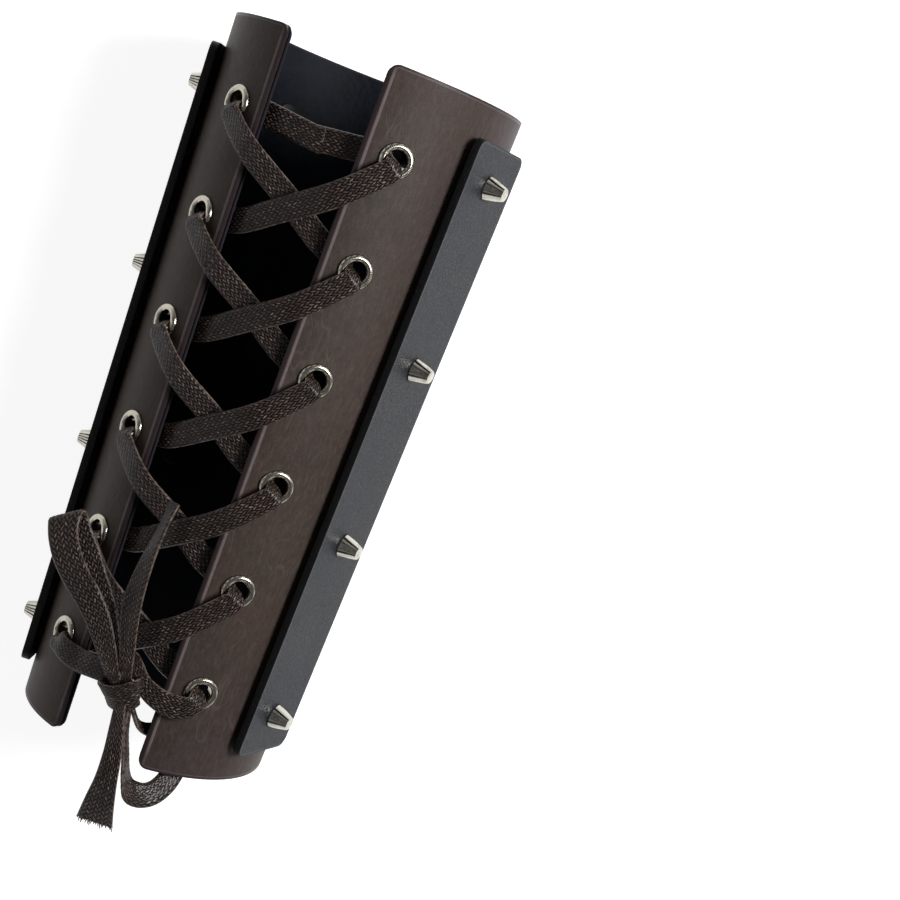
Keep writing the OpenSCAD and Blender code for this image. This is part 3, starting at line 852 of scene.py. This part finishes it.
# the lace: its zigzag repeats the CAD source's, in mm on the upright tube
lace = {
    "width": 8.2,
    "thickness": 1.6,
    "turnWidth": 7.2,
    "turnThickness": 1.8,
    "holeWidth": 5.6,
    "holeShift": 0.8,
    "crossLift": 1.15,
    "bowLeft": 4.5,
    "bowRight": 8.0,
    "leaveAngle": 62.0,
    "gap": 0.5,
    "turnShift": 1.9,
    "lieShift": 5.0,
    "turnDip": 0.5,
    "nearBow": 0.9,
    "farBow": 0.85,
    "barSag": 2.0,
    "barLap": (3.5, 0.5, 0),
    "ringStep": 0.42,
    "pathSteps": 8,
}
eyelets = {
    "rows": 6,
    "first": 30.0,
    "pitch": 36.5,
    "inset": 12.0,
    "bore": 3.4,
    "barrelWall": 0.4,
    "rim": 5.8,
    "rimHeight": 1.2,
    "washer": 5.6,
    "washerThickness": 0.4,
    "clinch": 4.6,
    "clinchThickness": 0.5,
    "rounding": 0.1,
    "rings": 8,
    "punch": 1.8,
}
eyeletHeights = [eyelets["first"] + i * eyelets["pitch"] for i in range(eyelets["rows"])]


def eyeletAngle(z):
    return tube["gapHalfAngle"] + math.degrees(eyelets["inset"] / radiusAt(z))


def washerLow(z):
    hollow = eyelets["washer"] ** 2 / (2 * (radiusAt(z) - wall)) + tube["seatGap"]
    return wall + hollow + eyelets["washerThickness"]


def lacingRoute():
    outHeight = eyelets["rimHeight"] + lace["gap"] + lace["thickness"] / 2
    outEdge = lace["gap"] + lace["thickness"]
    underEdge = -(wall + lace["gap"] + lace["thickness"])
    under = -(washerLow(eyelets["first"]) + tube["seatGap"] + eyelets["clinchThickness"]
              + lace["gap"] + lace["thickness"] / 2)
    full = (lace["width"], lace["thickness"])
    gathered = (lace["turnWidth"], lace["turnThickness"])
    gap = tube["gapHalfAngle"]
    leave = (math.cos(math.radians(lace["leaveAngle"])), math.sin(math.radians(lace["leaveAngle"])))

    def acrossAt(z):
        return 2 * eyelets["inset"] + 2 * radiusAt(z) * math.radians(gap)

    def byEyelet(s, z, d, down, h):
        return onShell(s * (eyeletAngle(z) - math.degrees(d / radiusAt(z))), z - down, h)

    def wideAt(s, angle, run):
        a = math.radians(angle)
        return upShell(angle) * run[0] - Vector((math.cos(a), math.sin(a), 0)) * (s * run[1])

    def hole(s, z, w):
        return (byEyelet(s, z, lace["holeShift"], 0, -wall / 2), w, lace["holeWidth"], lace["thickness"])

    def turn(s, z, way, h, dip, w):
        shift = lace["turnShift"]
        return (byEyelet(s, z, shift * way[0], shift * way[1], h + dip), w, *gathered)

    def lie(s, z, way, h, w):
        shift = lace["lieShift"]
        return (byEyelet(s, z, shift * way[0], shift * way[1], h), w, *full)

    def strand(s, i):  # from the eyelet of side s in row i to the other side's below it
        z1, z2 = eyeletHeights[i], eyeletHeights[i - 1]
        drop = z1 - z2
        bow = lace["bowRight"] if s > 0 else lace["bowLeft"]
        slant = Vector((acrossAt(z1), drop)).normalized()
        past = eyelets["inset"] + lace["width"] / 2 * slant[1]
        rise = drop * past / acrossAt(z2) - lace["farBow"] * bow
        arrive = Vector((past, rise)).normalized()
        away = (arrive[0], -arrive[1])
        w1 = wideAt(s, s * eyeletAngle(z1), leave)
        w2 = wideAt(s, s * gap, slant)
        w3 = wideAt(s, -s * gap, (slant + arrive).normalized())
        w4 = wideAt(s, -s * eyeletAngle(z2), arrive)
        edge1 = byEyelet(s, z1, past, drop * past / acrossAt(z1) + lace["nearBow"] * bow, outEdge)
        edge2 = byEyelet(-s, z2, past, -rise, underEdge)
        lift = -lace["crossLift"] if s > 0 else lace["crossLift"]
        middle = Vector((0, (edge1[1] + edge2[1]) / 2 + lift, (z1 + z2) / 2 - bow))
        return [
            hole(s, z1, w1), turn(s, z1, leave, outHeight, -lace["turnDip"], w1),
            lie(s, z1, leave, outHeight, w1), (edge1, w2, *full), (middle, w2 + w3, *full),
            (edge2, w3, *full), lie(-s, z2, away, under, w4),
            turn(-s, z2, away, under, lace["turnDip"], w4),
        ]

    top, rows = eyeletHeights[-1], eyelets["rows"]
    halves = {}
    for s in (-1, 1):
        w = upShell(s * eyeletAngle(top))
        route = [lie(s, top, (1, 0), under, w), turn(s, top, (1, 0), under, lace["turnDip"], w)]
        for k in range(rows - 1):
            route += strand(s if k % 2 == 0 else -s, rows - 1 - k)
        last = s if rows % 2 == 1 else -s
        z = eyeletHeights[0]
        w = wideAt(last, last * eyeletAngle(z), leave)
        route += [hole(last, z, w), turn(last, z, leave, outHeight, -lace["turnDip"], w)]
        halves[s] = route + bowRoute("endLeft" if last < 0 else "endRight")
    depth = (radiusAt(top) + underEdge) * math.cos(math.radians(gap))
    middle = (Vector((0, -depth, top - lace["barSag"])), Vector((0, 0, 1)), *full)
    lap = (middle[0] + Vector(lace["barLap"]), *middle[1:])
    return halves[-1], middle, lap, halves[1]


# the bow's routes: place, width direction and share of the lace's width
bow = {
    "knot": (4, -47.5, 25.5),
    "endLeft": [
        (-23.8, -40.8, 27.6, 0.3, -0.2, 0.9, 0.9), (-20, -42.4, 26.6, 0.2, -0.1, 1, 1),
        (-15, -43.5, 26.2, 0.1, 0, 1, 1), (-9.5, -45.6, 26.8, 0, 0, 1, 0.95),
        (-4.5, -46.8, 27, -0.1, 0, 1, 0.85), (0.5, -47.2, 26.4, -0.1, 0, 1, 0.7),
        (3.5, -47.2, 25.4, -0.1, 0, 1, 0.6),
    ],
    "endRight": [
        (25.3, -39.7, 25.7, -0.5, -0.3, 0.8, 0.9), (22.1, -41.5, 24.5, -0.2, -0.1, 1, 1),
        (18.3, -43.1, 24.6, 0.2, 0, 1, 1), (14.6, -44.5, 25.6, 0.4, 0.05, 0.9, 0.92),
        (11.3, -45.3, 27.2, 0.55, 0.1, 0.8, 0.82), (8.5, -45.5, 29.4, 0.75, 0.1, 0.6, 0.66),
        (6, -45.5, 32.5, 0.9, 0.1, 0.35, 0.54), (3.4, -45.4, 34.9, 0.7, 0, 0.7, 0.5),
        (0.7, -45.2, 35.1, -0.2, 0, 1, 0.5), (-0.8, -45.3, 32.4, -0.85, 0, 0.5, 0.5),
        (-0.1, -45.6, 28.5, -0.95, 0, -0.3, 0.5), (2.3, -46.4, 24.4, -0.8, 0, -0.6, 0.5),
    ],
    "loopLeft": [
        (2.4, -49, 25.8, 0.8, 0, 0.5, 0.5), (-0.1, -51.8, 30.4, 0.85, 0, 0.5, 0.62),
        (-3.4, -54.5, 37.2, 0.85, 0.1, 0.5, 0.82), (-8.4, -56, 45.1, 0.8, 0.15, 0.6, 1),
        (-14.4, -57.1, 51.5, 0.75, 0.15, 0.65, 1.1), (-19.6, -57.5, 55.6, 0.75, 0.15, 0.65, 1.12),
        (-24.8, -57.4, 60.8, 0.8, 0.2, 0.6, 1.15), (-28.4, -56.8, 66, 0.8, 0.2, 0.57, 1.2),
        (-30.2, -55.6, 70.6, 0.8, 0.2, 0.56, 1.35), (-30.4, -54.4, 72, 0.8, 0.2, 0.56, 1.45),
        (-29, -53.2, 70.8, 0.8, 0.2, 0.56, 1.35), (-25.9, -52.2, 67.4, 0.82, 0.2, 0.55, 1.15),
        (-21.2, -51, 62.2, 0.85, 0.2, 0.5, 1.05), (-16.5, -50.2, 56, 0.85, 0.15, 0.5, 1),
        (-11.7, -49.6, 50, 0.85, 0.1, 0.5, 0.95), (-7, -49, 42.4, 0.85, 0.1, 0.5, 0.85),
        (-2.4, -48.2, 34.2, 0.85, 0, 0.5, 0.7), (1.2, -46.8, 26.4, 0.8, 0, 0.5, 0.5),
    ],
    "loopDown": [
        (8, -47.3, 20.4, 0.2, -1, 0, 0.35), (9.6, -47, 12, 0.2, -1, 0, 0.6),
        (11.9, -46.4, 4.8, 0.2, -1, 0, 0.8), (14.1, -45.2, -2.6, 0.2, -0.95, -0.3, 0.9),
        (16.4, -43.2, -7.2, 0.2, -0.6, -0.8, 1), (19.8, -39.8, -8.4, 0.35, -0.2, -0.9, 1),
        (22.6, -35.8, -6.8, 0.6, 0.1, -0.75, 1), (24, -31, -2.6, 0.75, 0.5, -0.3, 1),
        (23.4, -27.8, 3, 0.75, 0.65, 0.1, 1), (20.8, -26.8, 8, 0.5, 0.75, 0.45, 0.9),
        (16.4, -29.8, 10.4, -0.2, 0.6, 0.8, 0.8), (12.2, -35.2, 11, -0.6, 0.65, 0.45, 0.65),
        (10.2, -40.2, 13.6, -0.65, 0.65, 0.4, 0.55), (8.2, -45.4, 20, -0.65, 0.65, 0.4, 0.5),
    ],
    "tailUp": [
        (5, -48.8, 26, 1, 0, 0.1, 0.5), (3.6, -50.9, 33.6, 1, 0, 0.1, 0.58),
        (2.2, -51.6, 39.6, 1, -0.1, 0.1, 0.7), (0.6, -52.2, 45.6, 0.95, -0.2, 0.2, 0.85),
        (-0.8, -52.6, 53, 0.92, -0.3, 0.2, 1), (-1.1, -52.6, 60, 0.85, -0.45, 0.2, 1),
        (-1, -52.2, 68, 0.75, -0.6, 0.1, 0.98), (-0.5, -51.7, 75, 0.65, -0.75, 0.1, 0.95),
        (0, -50.8, 82, 0.62, -0.75, 0.1, 0.78), (0.2, -50.3, 86, 0.75, -0.6, 0.2, 0.66),
        (0.4, -49.9, 88.4, 0.85, -0.4, 0.25, 0.58),
    ],
    "tailDown": [
        (4.4, -47.6, 28.6, 1, 0, 0.2, 0.45), (4.8, -48.2, 24.4, 1, 0, 0.2, 0.45),
        (6, -49.8, 19.3, 1, 0, 0.2, 0.5), (7.8, -51, 12.6, 1, 0, 0.2, 0.65),
        (9.6, -52, 4.9, 1, 0.1, 0.1, 0.77), (10.3, -51.3, -4, 1, 0.1, 0, 0.95),
        (10.1, -49.2, -12.7, 1, 0.15, 0, 1.25), (9.7, -46.2, -20.2, 1, 0.2, 0, 1.5),
    ],
}


def bowRoute(name):
    return [
        (Vector(row[:3]), Vector(row[3:6]), lace["width"] * row[6], lace["thickness"])
        for row in bow[name]
    ]


def smoothRoute(route, steps=lace["pathSteps"]):
    # a Catmull-Rom curve through the control points, their widths with them
    rows = np.array([(*p, *w, width, depth) for p, w, width, depth in route], float)
    n = len(rows)
    made = []
    for i in range(n - 1):
        a, b, c, d = rows[max(i - 1, 0)], rows[i], rows[i + 1], rows[min(i + 2, n - 1)]
        for k in range(steps + (i == n - 2)):
            t = k / steps
            made.append(0.5 * (2 * b + (c - a) * t + (2 * a - 5 * b + 4 * c - d) * t * t
                               + (3 * b - a - 3 * c + d) * t ** 3))
    return np.array(made)


def routeLength(rows):
    return float(np.linalg.norm(np.diff(rows[:, :3], axis=0), axis=1).sum())


braid = braidTree({
    "Points Around": plait["pointsAround"], "Rings": 400, "Strands": plait["strands"],
    "Strand Pitch": plait["pitch"], "Relief": plait["relief"], "Slant": 0.0,
})


def makeBraid(name, route, matrix=layMatrix, slant=0.0):
    rows = smoothRoute(route)
    base = pointsMesh(name + "Path", rows[:, :3], side=rows[:, 3:6], band=[(r[6], r[7], 0) for r in rows])
    rings = int(routeLength(rows) / lace["ringStep"]) + 4
    piece = grow(name, braid, base, waxedBraid, {"Rings": rings, "Slant": slant}, matrix)
    faceOut(piece)
    piece.data.shade_smooth()
    return piece


leftHalf, barMiddle, barLap, rightHalf = lacingRoute()
lacingPieces = [
    makeBraid("laceLacingA", leftHalf[::-1] + [barMiddle, barLap]),
    makeBraid("laceLacingB", [barMiddle] + rightHalf),
]
for piece in lacingPieces:
    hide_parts("lace_lacing")
print("lacing made", [len(p.data.polygons) for p in lacingPieces])

# loose threads at the lace's cut end, which stand out of it across its width
fray = {
    "threads": 40,
    "widthShare": 0.47,
    "back": 0.3,
    "stagger": 2.4,
    "fan": 0.35,
    "sides": 6,
    "taper": 0.5,
    "lengths": (0.45, 1.25),
    "sizes": {"Length": 2.2, "Radius": 0.27, "Spread": 0.28, "Seed": 7},
}


def frayTree(sizes):
    tree, given = newTree("looseThreads", sizes)
    thread = fromNode(tree, "GeometryNodeMeshCone", {
        "Vertices": fray["sides"], "Radius Bottom": given["Radius"],
        "Radius Top": given["Radius"] * fray["taper"], "Depth": given["Length"],
    }, fill_type="TRIANGLE_FAN")
    swing = fromNode(tree, "FunctionNodeRandomValue", {
        "Min": (-1, -1, -1), "Seed": given["Seed"],
    }, data_type="FLOAT_VECTOR")
    way = vectorMath("ADD", namedAttribute(tree, "outward"), scaled(swing, given["Spread"]))
    shortest, longest = fray["lengths"]
    size = fromNode(tree, "FunctionNodeRandomValue", {
        2: shortest, 3: longest, "Seed": given["Seed"] + 1,
    }, "Value", data_type="FLOAT")
    return standOnPoints(tree, given, thread, way, joined(tree, 1.0, 1.0, size))


def makeFray(name, route):
    rows = smoothRoute(route)
    end, before = Vector(rows[-1, :3]), Vector(rows[-3, :3])
    ahead = (end - before).normalized()
    thick = Vector(rows[-1, 3:6]).cross(ahead).normalized()
    wide = ahead.cross(thick)
    width, back = rows[-1, 6] * fray["widthShare"], fray["back"]
    shares = [i / (fray["threads"] - 1) * 2 - 1 for i in range(fray["threads"])]
    spots = [
        end - ahead * back + wide * width * t + thick * back * math.cos(i * fray["stagger"])
        for i, t in enumerate(shares)
    ]
    ways = [ahead + wide * t * fray["fan"] for t in shares]
    base = pointsMesh(name + "Points", spots, outward=ways, upward=[thick] * len(spots))
    piece = grow(name, frayTree(fray["sizes"]), base, paleThread)
    faceOut(piece)
    piece.data.shade_smooth()
    return piece


# the knot: a collar wound over a lip of the same lace, pinched below, and a core that fills it;
# sizes in mm from the knot's middle, angles in degrees
knot = {
    "shift": (0.4, 0, -2.6),
    "tilt": -22,
    "start": 75,
    "sweep": 410,
    "steps": 24,
    "reach": (5.7, 2.3),
    "aside": 0.2,
    "down": 0.4,
    "dip": 1.3,
    "rise": 0.7,
    "flare": 0.42,
    "collarWidth": 7.8,
    "thickness": 1.5,
    "lip": (
        (4.6, 1.2, 3.8, 3.4), (6.7, -0.4, 4.2, 4.2), (6.2, -2.4, 3.6, 4.8), (3.2, -3.9, 2.2, 5.0),
        (-0.8, -4.3, 1.5, 4.8), (-4.4, -3.5, 2.2, 4.2), (-6.2, -1.7, 3.6, 3.4), (-4.8, 0.4, 4.4, 2.6),
    ),
    "lipFlare": 0.07,
    "lipLean": -0.3,
    "core": (5.6, 2.0, 4.4),
    "coreLevels": 4,
    "waist": 0.62,
    "waistPlace": (0.9, 1.4),
}


def makeKnot():
    middle = Vector(bow["knot"]) + Vector(knot["shift"])
    tilt = Matrix.Rotation(math.radians(knot["tilt"]), 4, "Y")
    spot = layMatrix @ Matrix.Translation(middle) @ tilt
    across, deep = knot["reach"]
    collar = []
    for i in range(knot["steps"] + 1):
        t = math.radians(knot["start"] + knot["sweep"] * i / knot["steps"])
        east, north = math.cos(t), math.sin(t)
        low = knot["dip"] * max(0.0, -north) ** 2 - knot["rise"] * abs(east) ** 3
        place = Vector((across * east + knot["aside"], deep * north, -knot["down"] - low))
        lean = Vector((knot["flare"] * east, knot["flare"] * north, 1))
        collar.append((place, lean, knot["collarWidth"], knot["thickness"]))
    lip = []
    for x, y, z, width in knot["lip"]:
        lean = Vector((knot["lipFlare"] * x, knot["lipLean"], 1))
        lip.append((Vector((x, y, z)), lean, width, knot["thickness"]))
    parts = [makeBraid("laceKnotCollar", collar, spot), makeBraid("laceKnotLip", lip, spot)]
    work = bmesh.new()
    bmesh.ops.create_icosphere(work, subdivisions=knot["coreLevels"], radius=1.0)
    wide, deep, high = knot["core"]
    below, span = knot["waistPlace"]
    for v in work.verts:
        share = max(0.0, min(1.0, (v.co.z + below) / span))
        narrow = knot["waist"] + (1 - knot["waist"]) * share
        v.co = Vector((v.co.x * wide * narrow, v.co.y * deep, v.co.z * high))
    mesh = bpy.data.meshes.new("laceKnotCore")
    work.to_mesh(mesh)
    work.free()
    mesh.transform(spot)
    mesh.materials.append(waxedBraid)
    mesh.shade_smooth()
    parts.append(addPiece("laceKnotCore", mesh))
    for part in parts:
        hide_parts("lace_knot")
    return parts


# points on the left and right eyelet lines half way along the tube, which set the sign of the flex
# direction below
eyeletMiddle = tube["length"] / 2
laceStart = laid(onShell(-eyeletAngle(eyeletMiddle), eyeletMiddle))
laceEnd = laid(onShell(eyeletAngle(eyeletMiddle), eyeletMiddle))
lacePieces = lacingPieces + makeKnot()

# the free ends and loops of the bow, each braided along its route; the hanging tail ends in loose threads
bowPieces = {
    "laceLoopLeft": ("loopLeft", "lace_loop_left", "object", 2),
    "laceLoopDown": ("loopDown", "lace_loop_down", "object", 2),
    "laceTailUp": ("tailUp", "lace_tail_up", "bare", 3),
    "laceTailDown": ("tailDown", "lace_tail_down", "bare", 4),
}
for name, (route, node, farEnd, steps) in bowPieces.items():
    piece = makeBraid(name, bowRoute(route), slant=1.0 if route == "loopLeft" else 0.0)
    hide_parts(node)
    ends = [makeFray(name + "Threads", bowRoute(route))] if route == "tailDown" else []
    lacePieces += [piece] + ends
for piece in lacePieces:
    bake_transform(piece)

# the shell and its lining, each one sheet, and a line along the bare strip behind with a direction across
# it
sheets = {
    "columns": 200,
    "rows": 136,
    "crowdAcross": 0.68,
    "crowdAlong": 0.25,
    "shellBevel": 0.7,
    "liningBevel": 0.25,
    "flexReach": 3.6,
}
sheetTree = rolledSheetTree({
    "Columns": sheets["columns"], "Rows": sheets["rows"], "Length": tube["length"],
    "Wrist Radius": tube["wristRadius"], "Elbow Radius": tube["elbowRadius"],
    "Gap Half Angle": math.radians(tube["gapHalfAngle"]), "Corner Radius": tube["cornerRadius"],
    "Hole Radius": eyelets["bore"] + eyelets["punch"], "Edge Reach": tube["edgeReach"],
    "Edge Drop": tube["edgeDrop"],
}, sheets["crowdAcross"], sheets["crowdAlong"])
flexAngle = 180 - tube["splintAngle"] / 2
flexLow, flexHigh = laid(onShell(flexAngle, 0)), laid(onShell(flexAngle, tube["length"]))
flexMiddle = (flexLow + flexHigh) / 2
openMiddle = laid(onShell(0, eyeletMiddle))
flexWay = (flexHigh - flexLow).cross(openMiddle - flexMiddle).normalized()
if flexWay.dot(laceEnd - laceStart) < 0:
    flexWay.negate()


def makeSheet(name, depth, thickness, bevel, material, nodes):
    spots = [onShell(s * eyeletAngle(z), z, -depth) for s in (-1, 1) for z in eyeletHeights]
    radii = {"Wrist Radius": tube["wristRadius"] - depth, "Elbow Radius": tube["elbowRadius"] - depth}
    piece = grow(name, sheetTree, pointsMesh(name + "Points", spots), material, radii)
    thicken(piece, thickness, bevel)
    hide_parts(*nodes)
    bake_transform(piece)
    return piece


shell = makeSheet("shell", 0.0, tube["leather"], sheets["shellBevel"], brownLeather,
                  ("shell_left", "shell_right"))
lining = makeSheet("lining", tube["leather"] + tube["glue"], tube["lining"], sheets["liningBevel"],
                   darkLining, ("lining_left", "lining_right"))

print("shell and lining made", len(shell.data.polygons), len(lining.data.polygons))

# splints: flat leather plates, each with four studs screwed on from inside
splints = {
    "names": {
        "back": (180, "left_half"),
        "left_inner": (180 + tube["splintAngle"], "left_half"),
        "left_outer": (180 + 2 * tube["splintAngle"], "left_half"),
        "right_inner": (180 - tube["splintAngle"], "right_half"),
        "right_outer": (180 - 2 * tube["splintAngle"], "right_half"),
    },
    "wristWidth": 31.0,
    "elbowWidth": 35.5,
    "thickness": 2.6,
    "margin": 11.0,
    "cornerRadius": 3.5,
    "bevel": 0.55,
    "columns": 40,
    "rows": 120,
    "crowd": 0.7,
}
studs = {
    "count": 4,
    "inset": 13.6,
    "base": 4.4,
    "tip": 2.3,
    "height": 6.2,
    "bevel": 0.3,
    "bevelKnee": (0.25, 0.3),
    "screw": 1.5,
    "head": 4.8,
    "headThickness": 1.0,
    "headRounding": 0.6,
}
splintLength = tube["length"] - 2 * splints["margin"]
studStep = (splintLength - 2 * studs["inset"]) / (studs["count"] - 1)
studHeights = [splints["margin"] + studs["inset"] + i * studStep for i in range(studs["count"])]


def studRings(g):
    base, tip, height, bevel = g["Base Radius"], g["Tip Radius"], g["Height"], g["Bevel"]
    few, more = studs["bevelKnee"]
    return [(r, h + seat) for r, h in (
        (0.0, 0.0), (base - bevel, 0.0), (base - bevel * few, bevel * more), (base, bevel),
        (tip, height - bevel), (tip - bevel * more, height - bevel * few), (tip - bevel, height),
        (0.0, height),
    )]


def screwRings(g):
    head, thick, under, shank = g["Head Radius"], g["Head Thickness"], g["Under"], g["Shank Radius"]
    low, soft = under - thick, studs["headRounding"]
    return [
        (0.0, low), (head - soft, low), (head - soft / 3, low + thick * 0.16), (head, low + thick * 0.5),
        (head - soft / 6, under), (shank, under), (shank, g["Shank Top"]), (0.0, g["Shank Top"]),
    ]


def eyeletRings(g):
    bore, barrel, rim, high = g["Bore Radius"], g["Barrel Radius"], g["Rim Radius"], g["Rim Height"]
    low, clinch, thick = g["Low End"], g["Clinch Radius"], g["Clinch Thickness"]
    middle, half = (bore + rim) * 0.5, (rim - bore) * 0.5
    soft, foot = eyelets["rounding"], tube["seatGap"]
    rings = [
        (bore, low), (clinch - soft * 2, low), (clinch, low + thick * 0.5), (clinch - soft, low + thick),
        (barrel, low + thick), (barrel, foot),
    ]
    for i in range(eyelets["rings"] + 1):
        t = math.pi * i / eyelets["rings"]
        rings.append((middle + half * math.cos(t), foot + (high - foot) * math.sin(t)))
    return rings + [(bore, low)]


def washerRings(g):
    inner, outer, low, thick = g["Inner Radius"], g["Outer Radius"], g["Low"], g["Thickness"]
    soft = eyelets["rounding"]
    return [
        (inner, low), (outer - soft, low), (outer, low + soft), (outer, low + thick),
        (inner, low + thick), (inner, low),
    ]


def placeFasteners(name, tree, spots, material, body, node):
    base = pointsMesh(
        name + "Points", [onShell(a, z) for a, z in spots],
        outward=[outShell(a) for a, z in spots], upward=[upShell(a) for a, z in spots],
    )
    piece = grow(name, tree, base, material)
    faceOut(piece)
    smooth(piece, rounding["turnedSharp"])
    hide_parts(node)
    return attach(piece, body)


seat = 2 * tube["seatGap"] + splints["thickness"]
hollow = studs["head"] ** 2 / (2 * (radiusAt(tube["length"] / 2) - wall)) + tube["seatGap"]
plateTree = cutPlateTree({
    "Columns": splints["columns"], "Rows": splints["rows"], "Length": splintLength,
    "Wrist Width": splints["wristWidth"], "Elbow Width": splints["elbowWidth"],
    "Corner Radius": splints["cornerRadius"], "Height": tube["seatGap"] + splints["thickness"],
}, splints["crowd"])
studTree = turnedTree("coneStud", {
    "Base Radius": studs["base"], "Tip Radius": studs["tip"], "Height": studs["height"],
    "Bevel": studs["bevel"],
}, studRings)
screwTree = turnedTree("flatScrew", {
    "Head Radius": studs["head"], "Head Thickness": studs["headThickness"],
    "Under": -wall - hollow, "Shank Radius": studs["screw"], "Shank Top": seat,
}, screwRings)
for label, (angle, body) in splints["names"].items():
    base = pointsMesh(label + "Base", [(0, 0, 0)])
    spot = layMatrix @ placeAt(angle, splints["margin"])
    plate = grow(label + "Splint", plateTree, base, blackLeather, matrix=spot)
    thicken(plate, splints["thickness"], splints["bevel"])
    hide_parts("splint_" + label)
    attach(plate, body)
    spots = [(angle, z) for z in studHeights]
    placeFasteners(label + "Studs", studTree, spots, gunmetal, body, "studs_" + label)
    placeFasteners(label + "Screws", screwTree, spots, screwSteel, body, "screws_" + label)
print("splints, studs and screws made")

barrel = eyelets["bore"] + eyelets["barrelWall"]
lowWasher = washerLow(tube["length"] / 2)
eyeletTree = turnedTree("rolledEyelet", {
    "Bore Radius": eyelets["bore"], "Barrel Radius": barrel, "Rim Radius": eyelets["rim"],
    "Rim Height": eyelets["rimHeight"],
    "Low End": -(lowWasher + tube["seatGap"] + eyelets["clinchThickness"]),
    "Clinch Radius": eyelets["clinch"], "Clinch Thickness": eyelets["clinchThickness"],
}, eyeletRings)
washerTree = turnedTree("flatWasher", {
    "Inner Radius": barrel + tube["seatGap"], "Outer Radius": eyelets["washer"],
    "Low": -lowWasher, "Thickness": eyelets["washerThickness"],
}, washerRings)
for side, s in (("left", -1), ("right", 1)):
    spots = [(s * eyeletAngle(z), z) for z in eyeletHeights]
    body = side + "_half"
    placeFasteners(side + "Eyelets", eyeletTree, spots, nickel, body, "eyelets_" + side)
    placeFasteners(side + "Washers", washerTree, spots, screwSteel, body, "washers_" + side)
print("eyelets and washers made")

# floor, lamps and background
studio = {
    "floor": (0.64, 0.64, 0.64, 1.0),
    "floorSize": 30.0,
    "floorGlow": 0.88,
    "glowReach": (0.35, 0.9),
    "ambient": 0.09,
    "ceiling": 0.2,
    "ceilingReach": (0.3, 0.75),
    "flags": 13.0,
    "flagTurn": 0.6,
    "flagEdge": 0.35,
    "flagShade": 0.97,
    "aim": (0, 0, 0.05),
    "lamps": {  # place, power and size
        "keyLamp": ((0.4, 0.23, 0.62), 4.9, 0.32),
        "fillLamp": ((-0.8, -0.1, 0.8), 0.2, 0.6),
    },
}


def rayKinds(tree):  # what the camera sees, what a mirror or glass shows, and both
    path = addNode(tree, "ShaderNodeLightPath")
    direct = output(path, "Is Camera Ray")
    mirrored = calc("ADD", output(path, "Is Glossy Ray"), output(path, "Is Transmission Ray"), clamp=True)
    return direct, mirrored, calc("ADD", direct, mirrored, clamp=True)


floorMaterial = bpy.data.materials.new("paleFloor")
tree = emptyTree(floorMaterial)
east, north, _ = split(fromNode(tree, "ShaderNodeTexCoord", key="Object"))
glowFrom, glowTo = studio["glowReach"]
far = ramp(calc("SQRT", east * east + north * north), glowTo * glowFrom, glowTo)
strength = rayKinds(tree)[2] * (far * (1 - studio["floorGlow"]) + studio["floorGlow"])
matt = fromNode(tree, "ShaderNodeBsdfDiffuse", {"Color": studio["floor"]})
glow = fromNode(tree, "ShaderNodeEmission", {"Color": (1, 1, 1, 1), "Strength": strength})
both = fromNode(tree, "ShaderNodeAddShader", {0: matt, 1: glow})
addNode(tree, "ShaderNodeOutputMaterial", {"Surface": both})
bpy.ops.mesh.primitive_plane_add(size=studio["floorSize"], location=(0, 0, 0))
floor = bpy.context.object
floor.name = "floor"
floor.data.materials.append(floorMaterial)

# a white room; dark flags around it and a dimmer ceiling show only in metal and glass
world = bpy.data.worlds.new("paleRoom")
scene.world = world
tree = emptyTree(world)
direct, mirrored, seen = rayKinds(tree)
east, north, steep = split(fromNode(tree, "ShaderNodeTexCoord", key="Generated"))
around = calc("ARCTAN2", north, east) * studio["flags"] + studio["flagTurn"]
flag = ramp(calc("SINE", around), 0.0, studio["flagEdge"]) * studio["flagShade"]
above = ramp(steep, *studio["ceilingReach"]) * (1 - studio["ceiling"])
room = calc("MAXIMUM", direct, mirrored * (1 - calc("MAXIMUM", above, flag)))
sky = fromNode(tree, "ShaderNodeBackground", {
    "Color": (1, 1, 1, 1), "Strength": room + (1 - seen) * studio["ambient"],
})
addNode(tree, "ShaderNodeOutputWorld", {"Surface": sky})

for name, (place, power, size) in studio["lamps"].items():
    data = bpy.data.lights.new(name, "AREA")
    data.energy = power
    data.shape = "DISK"
    data.size = size
    lamp = addPiece(name, data)
    lamp.location = place
    aim = Vector(studio["aim"]) - Vector(place)
    lamp.rotation_euler = aim.to_track_quat("-Z", "Y").to_euler()
print("studio made")
